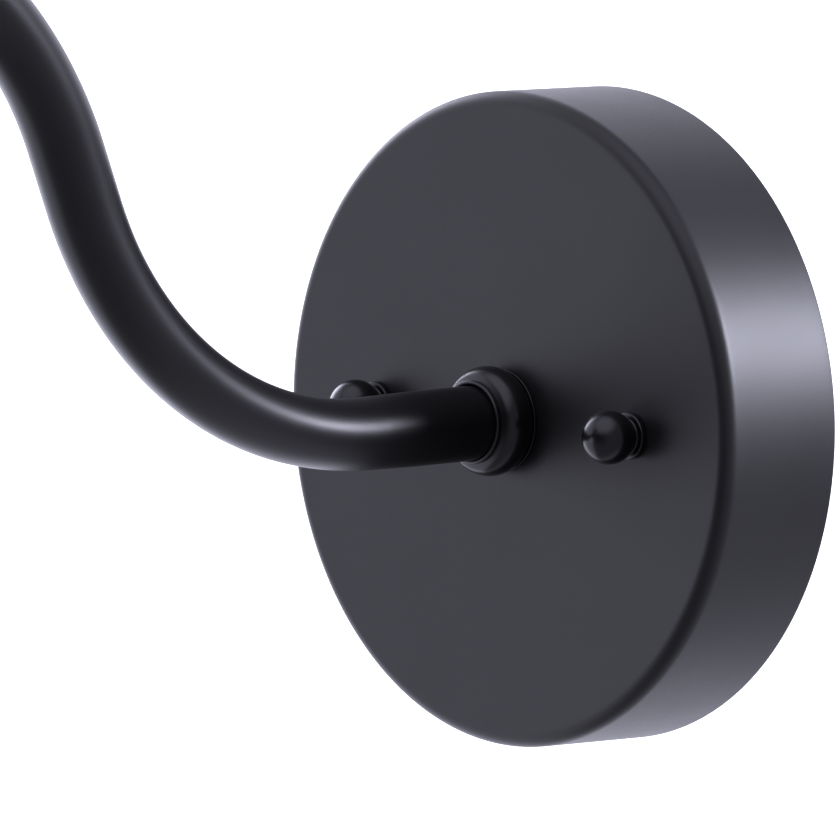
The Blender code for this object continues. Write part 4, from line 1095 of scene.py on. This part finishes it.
def build_lamp(side, axis):
    """A tubular lamp: rolled screw base, insulator, thin glass, stem and coiled filament."""
    body = f"lamp_{side}"
    tip = SOCKET_FLOOR + 0.0026
    rim = SOCKET_MOUTH - 0.0015
    radius = LAMP_BASE_RADIUS
    low = tip + 0.0030

    def rolled(_, r, z, angle):
        if r < radius - 0.0009 or not low + 0.0004 < z < rim - 0.0008:
            return r
        return r - 0.00035 * wave(rolled_phase(z, angle))

    wall = radius - 0.0008
    profile = [(0.0030, tip + 0.0042), (wall, tip + 0.0050), (wall, rim), (radius - 0.0002, rim)]
    profile += column(radius, rim, low, 30) + [(0.0040, tip + 0.0016), (0.0030, tip + 0.0016)]
    lathe(f"lamp_cap_{side}", profile, body, "brass", axis, f"lamp_base_{side}", 72, radius_at=rolled)
    ring = [(0.0018, tip + 0.0016), (0.0030, tip + 0.0016), (0.0038, tip + 0.0014), (0.0030, tip + 0.0006),
            (0.0018, tip + 0.0003)]
    lathe(f"lamp_insulator_{side}", ring, body, "phenolic", axis, None, 48)
    solder = [(0.0, tip + 0.0012), (0.0017, tip + 0.0012), (0.0018, tip + 0.0004),
              (0.0012, tip + 0.0001), (0.0, tip)]
    lathe(f"lamp_solder_{side}", solder, body, "zinc_plate", axis, None, 32)

    neck = rim + GAP
    shoulder = SOCKET_MOUTH + 0.0050
    end, wide, thin, sheet = BULB_REACH, BULB_RADIUS, 0.0056, BULB_SHEET
    outer = arc((0.0, end - wide), wide, pi / 2, 0.0, 21)
    outer[0] = (0.0, end)
    for t in (1.0, 0.85, 0.7, 0.55, 0.4, 0.25, 0.1, 0.0):
        swell = (wide - thin) * (0.5 - 0.5 * cos(pi * t))
        outer.append((thin + swell, SOCKET_MOUTH + (shoulder - SOCKET_MOUTH) * t))
    outer.append((thin, neck))
    inside = [(max(r - sheet, 0.0), z - sheet if z > end - wide else z) for r, z in reversed(outer)]
    inside[-1] = (0.0, end - sheet)
    lathe(f"bulb_tubular_{side}", outer + inside, body, "clear_glass", axis, f"bulb_glass_{side}")
    stem = [(0.0, shoulder + 0.0050), (0.0007, shoulder + 0.0046), (0.0010, shoulder + 0.0020),
            (0.0016, shoulder), (0.0030, neck + 0.0012), (0.0040, neck + 0.0006),
            (0.0040, neck + 0.0002), (0.0, neck + 0.0002)]
    lathe(f"lamp_stem_{side}", stem, body, "clear_glass", axis, None, 40)

    build = bmesh.new()
    top, knee, foot = end - 0.014, end - 0.022, shoulder + 0.006
    for sign in (-1, 1):
        bend = ((0.0018, neck - 0.002), (0.0018, shoulder), (0.0024, foot))
        wire(build, catmull([(sign * x, 0.0, z) for x, z in bend], 6), 0.00022, 10)
    wire(build, [(0.0, 0.0, z) for z in (shoulder + 0.004, knee, top - 0.0004)], 0.00012, 8)
    loop = catmull([(-0.0024, 0.0, foot), (-0.0030, 0.0, knee), (0.0, 0.0, top), (0.0030, 0.0, knee),
                    (0.0024, 0.0, foot)], 160)
    coil = []
    other = Vector((0.0, 1.0, 0.0))
    for i, point in enumerate(loop):
        turn = i * pi / 4
        normal = along_at(loop, i).cross(other).normalized()
        coil.append(point + 0.00028 * (normal * cos(turn) + other * sin(turn)))
    wire(build, coil, 0.00007, 5)
    finish_mesh(f"filament_coil_{side}", build, body, "filament", f"filament_{side}", axis, weighted=False)


build_canopy()
build_arm()
build_collar()
build_ball_nuts()
build_straps()
build_fasteners()
build_nipple()
build_leads()
build_knuckle_base()
build_pivot(build_fork())
build_shade()
build_bracket()
build_lamps()

for node_name, node in frame["nodes"].items():
    slot_name = next(p["material_slot"] for p in frame["record"]["subparts"] if p["node"] == node_name)
    node.data.materials.clear()
    node.data.materials.append(LOOKS[slot_name])


# ---------------------------------------------------------------- stage

VIEW_TURN = radians(48.0)
VIEW_RISE = radians(5.6)
VIEW_ROLL = radians(0.9)
VIEW_DISTANCE = 2.5
VIEW_ASIDE = 0.01636         # the view's centre lies this far left of the canopy's middle
VIEW_WIDTH = 0.16597         # width of the view at the canopy
FLOOR_Z = -0.45
SURROUND = 0.30              # brightness all round

# Soft lights in the surround: direction from the object, angle from it that is fully bright, angle where it
# ends, and brightness. A negative brightness is a dark patch.
SOFT_LIGHTS = (
    ((-0.96, -0.26, -0.10), 42.0, 56.0, 0.80),
    ((-0.56, -0.82, -0.10), 4.0, 14.0, 0.60),
    ((-0.70, 0.70, -0.05), 25.0, 72.0, 1.30),
    ((0.10, 0.60, -0.80), 15.0, 55.0, 0.35),
    ((0.10, -0.50, 0.85), 15.0, 50.0, 0.90),
    ((0.74, 0.56, 0.38), 3.0, 12.0, 64.0),
    ((-0.93, 0.10, 0.33), 6.0, 20.0, 3.0),
    ((0.16, -0.98, 0.05), 10.0, 40.0, -0.18),
)


def build_camera():
    """A long lens at the viewing angle, aimed a little left of the canopy's middle."""
    turn, rise, roll = VIEW_TURN, VIEW_RISE, VIEW_ROLL
    back = Vector((sin(turn) * cos(rise), -cos(turn) * cos(rise), sin(rise)))
    level = Vector((cos(turn), sin(turn), 0.0))
    right = cos(roll) * level + sin(roll) * back.cross(level)
    target = Vector((0.0, -CANOPY_DEPTH, 0.0))
    location = target + VIEW_DISTANCE * back
    axis_z = (location - (target - VIEW_ASIDE * right)).normalized()
    axis_x = (right - axis_z * right.dot(axis_z)).normalized()
    data = bpy.data.cameras.new("camera")
    data.sensor_width = 36.0
    data.lens = data.sensor_width * VIEW_DISTANCE / VIEW_WIDTH
    data.clip_start = 0.1
    data.clip_end = 100.0
    camera = placed("camera", data)
    turned = Matrix((axis_x, axis_z.cross(axis_x), axis_z)).transposed().to_4x4()
    camera.matrix_world = Matrix.Translation(location) @ turned
    bpy.context.scene.camera = camera


def build_surround():
    """The studio: dim all round, with the soft lights added. The camera itself sees plain white."""
    world = bpy.data.worlds.new("surround")
    bpy.context.scene.world = world
    world.use_nodes = True
    tree = world.node_tree
    where = add_node(tree, "ShaderNodeTexCoord").outputs["Generated"]
    total = SURROUND
    for direction, inner, outer, brightness in SOFT_LIGHTS:
        facing = add_node(tree, "ShaderNodeVectorMath", {0: where, 1: Vector(direction).normalized()},
                          operation="DOT_PRODUCT")
        limits = {"From Min": cos(radians(outer)), "From Max": cos(radians(inner)), "To Max": brightness}
        fade = add_node(tree, "ShaderNodeMapRange", {"Value": facing.outputs["Value"], **limits},
                        interpolation_type="SMOOTHSTEP")
        total = add_node(tree, "ShaderNodeMath", {0: fade.outputs["Result"], 1: total}).outputs["Value"]
    background = tree.nodes["Background"]
    background.inputs["Color"].default_value = (0.94, 0.94, 1.14, 1.0)
    tree.links.new(total, background.inputs["Strength"])
    plain = add_node(tree, "ShaderNodeBackground", {"Color": (1.0, 1.0, 1.0, 1.0)})
    seen = add_node(tree, "ShaderNodeLightPath").outputs["Is Camera Ray"]
    mix = add_node(tree, "ShaderNodeMixShader",
                   {"Fac": seen, 1: background.outputs["Background"], 2: plain.outputs["Background"]})
    tree.links.new(mix.outputs["Shader"], tree.nodes["World Output"].inputs["Surface"])


def build_floor():
    """A plain white floor. It is clear from below, so that the light can be looked at from underneath."""
    build = bmesh.new()
    bmesh.ops.create_grid(build, x_segments=8, y_segments=8, size=30.0)
    floor = placed("floor", mesh_from(build, "floor"))
    floor.location.z = FLOOR_Z
    floor.visible_glossy = False
    floor.visible_diffuse = False
    look = Look("floor_white", Base_Color=(0.90, 0.90, 0.86, 1.0), Roughness=0.9, Specular_IOR_Level=0.1,
                Emission_Color=(1.0, 1.0, 1.0, 1.0), Emission_Strength=0.62)
    clear = look.node("ShaderNodeBsdfTransparent")
    below = look.node("ShaderNodeNewGeometry").outputs["Backfacing"]
    mix = look.node("ShaderNodeMixShader",
                    {"Fac": below, 1: look.shader.outputs["BSDF"], 2: clear.outputs["BSDF"]})
    look.tree.links.new(mix.outputs["Shader"], look.tree.nodes["Material Output"].inputs["Surface"])
    floor.data.materials.append(look.material)


build_camera()
build_surround()
build_floor()
view_settings = bpy.context.scene.view_settings
view_settings.view_transform = "Standard"
view_settings.look = "None"
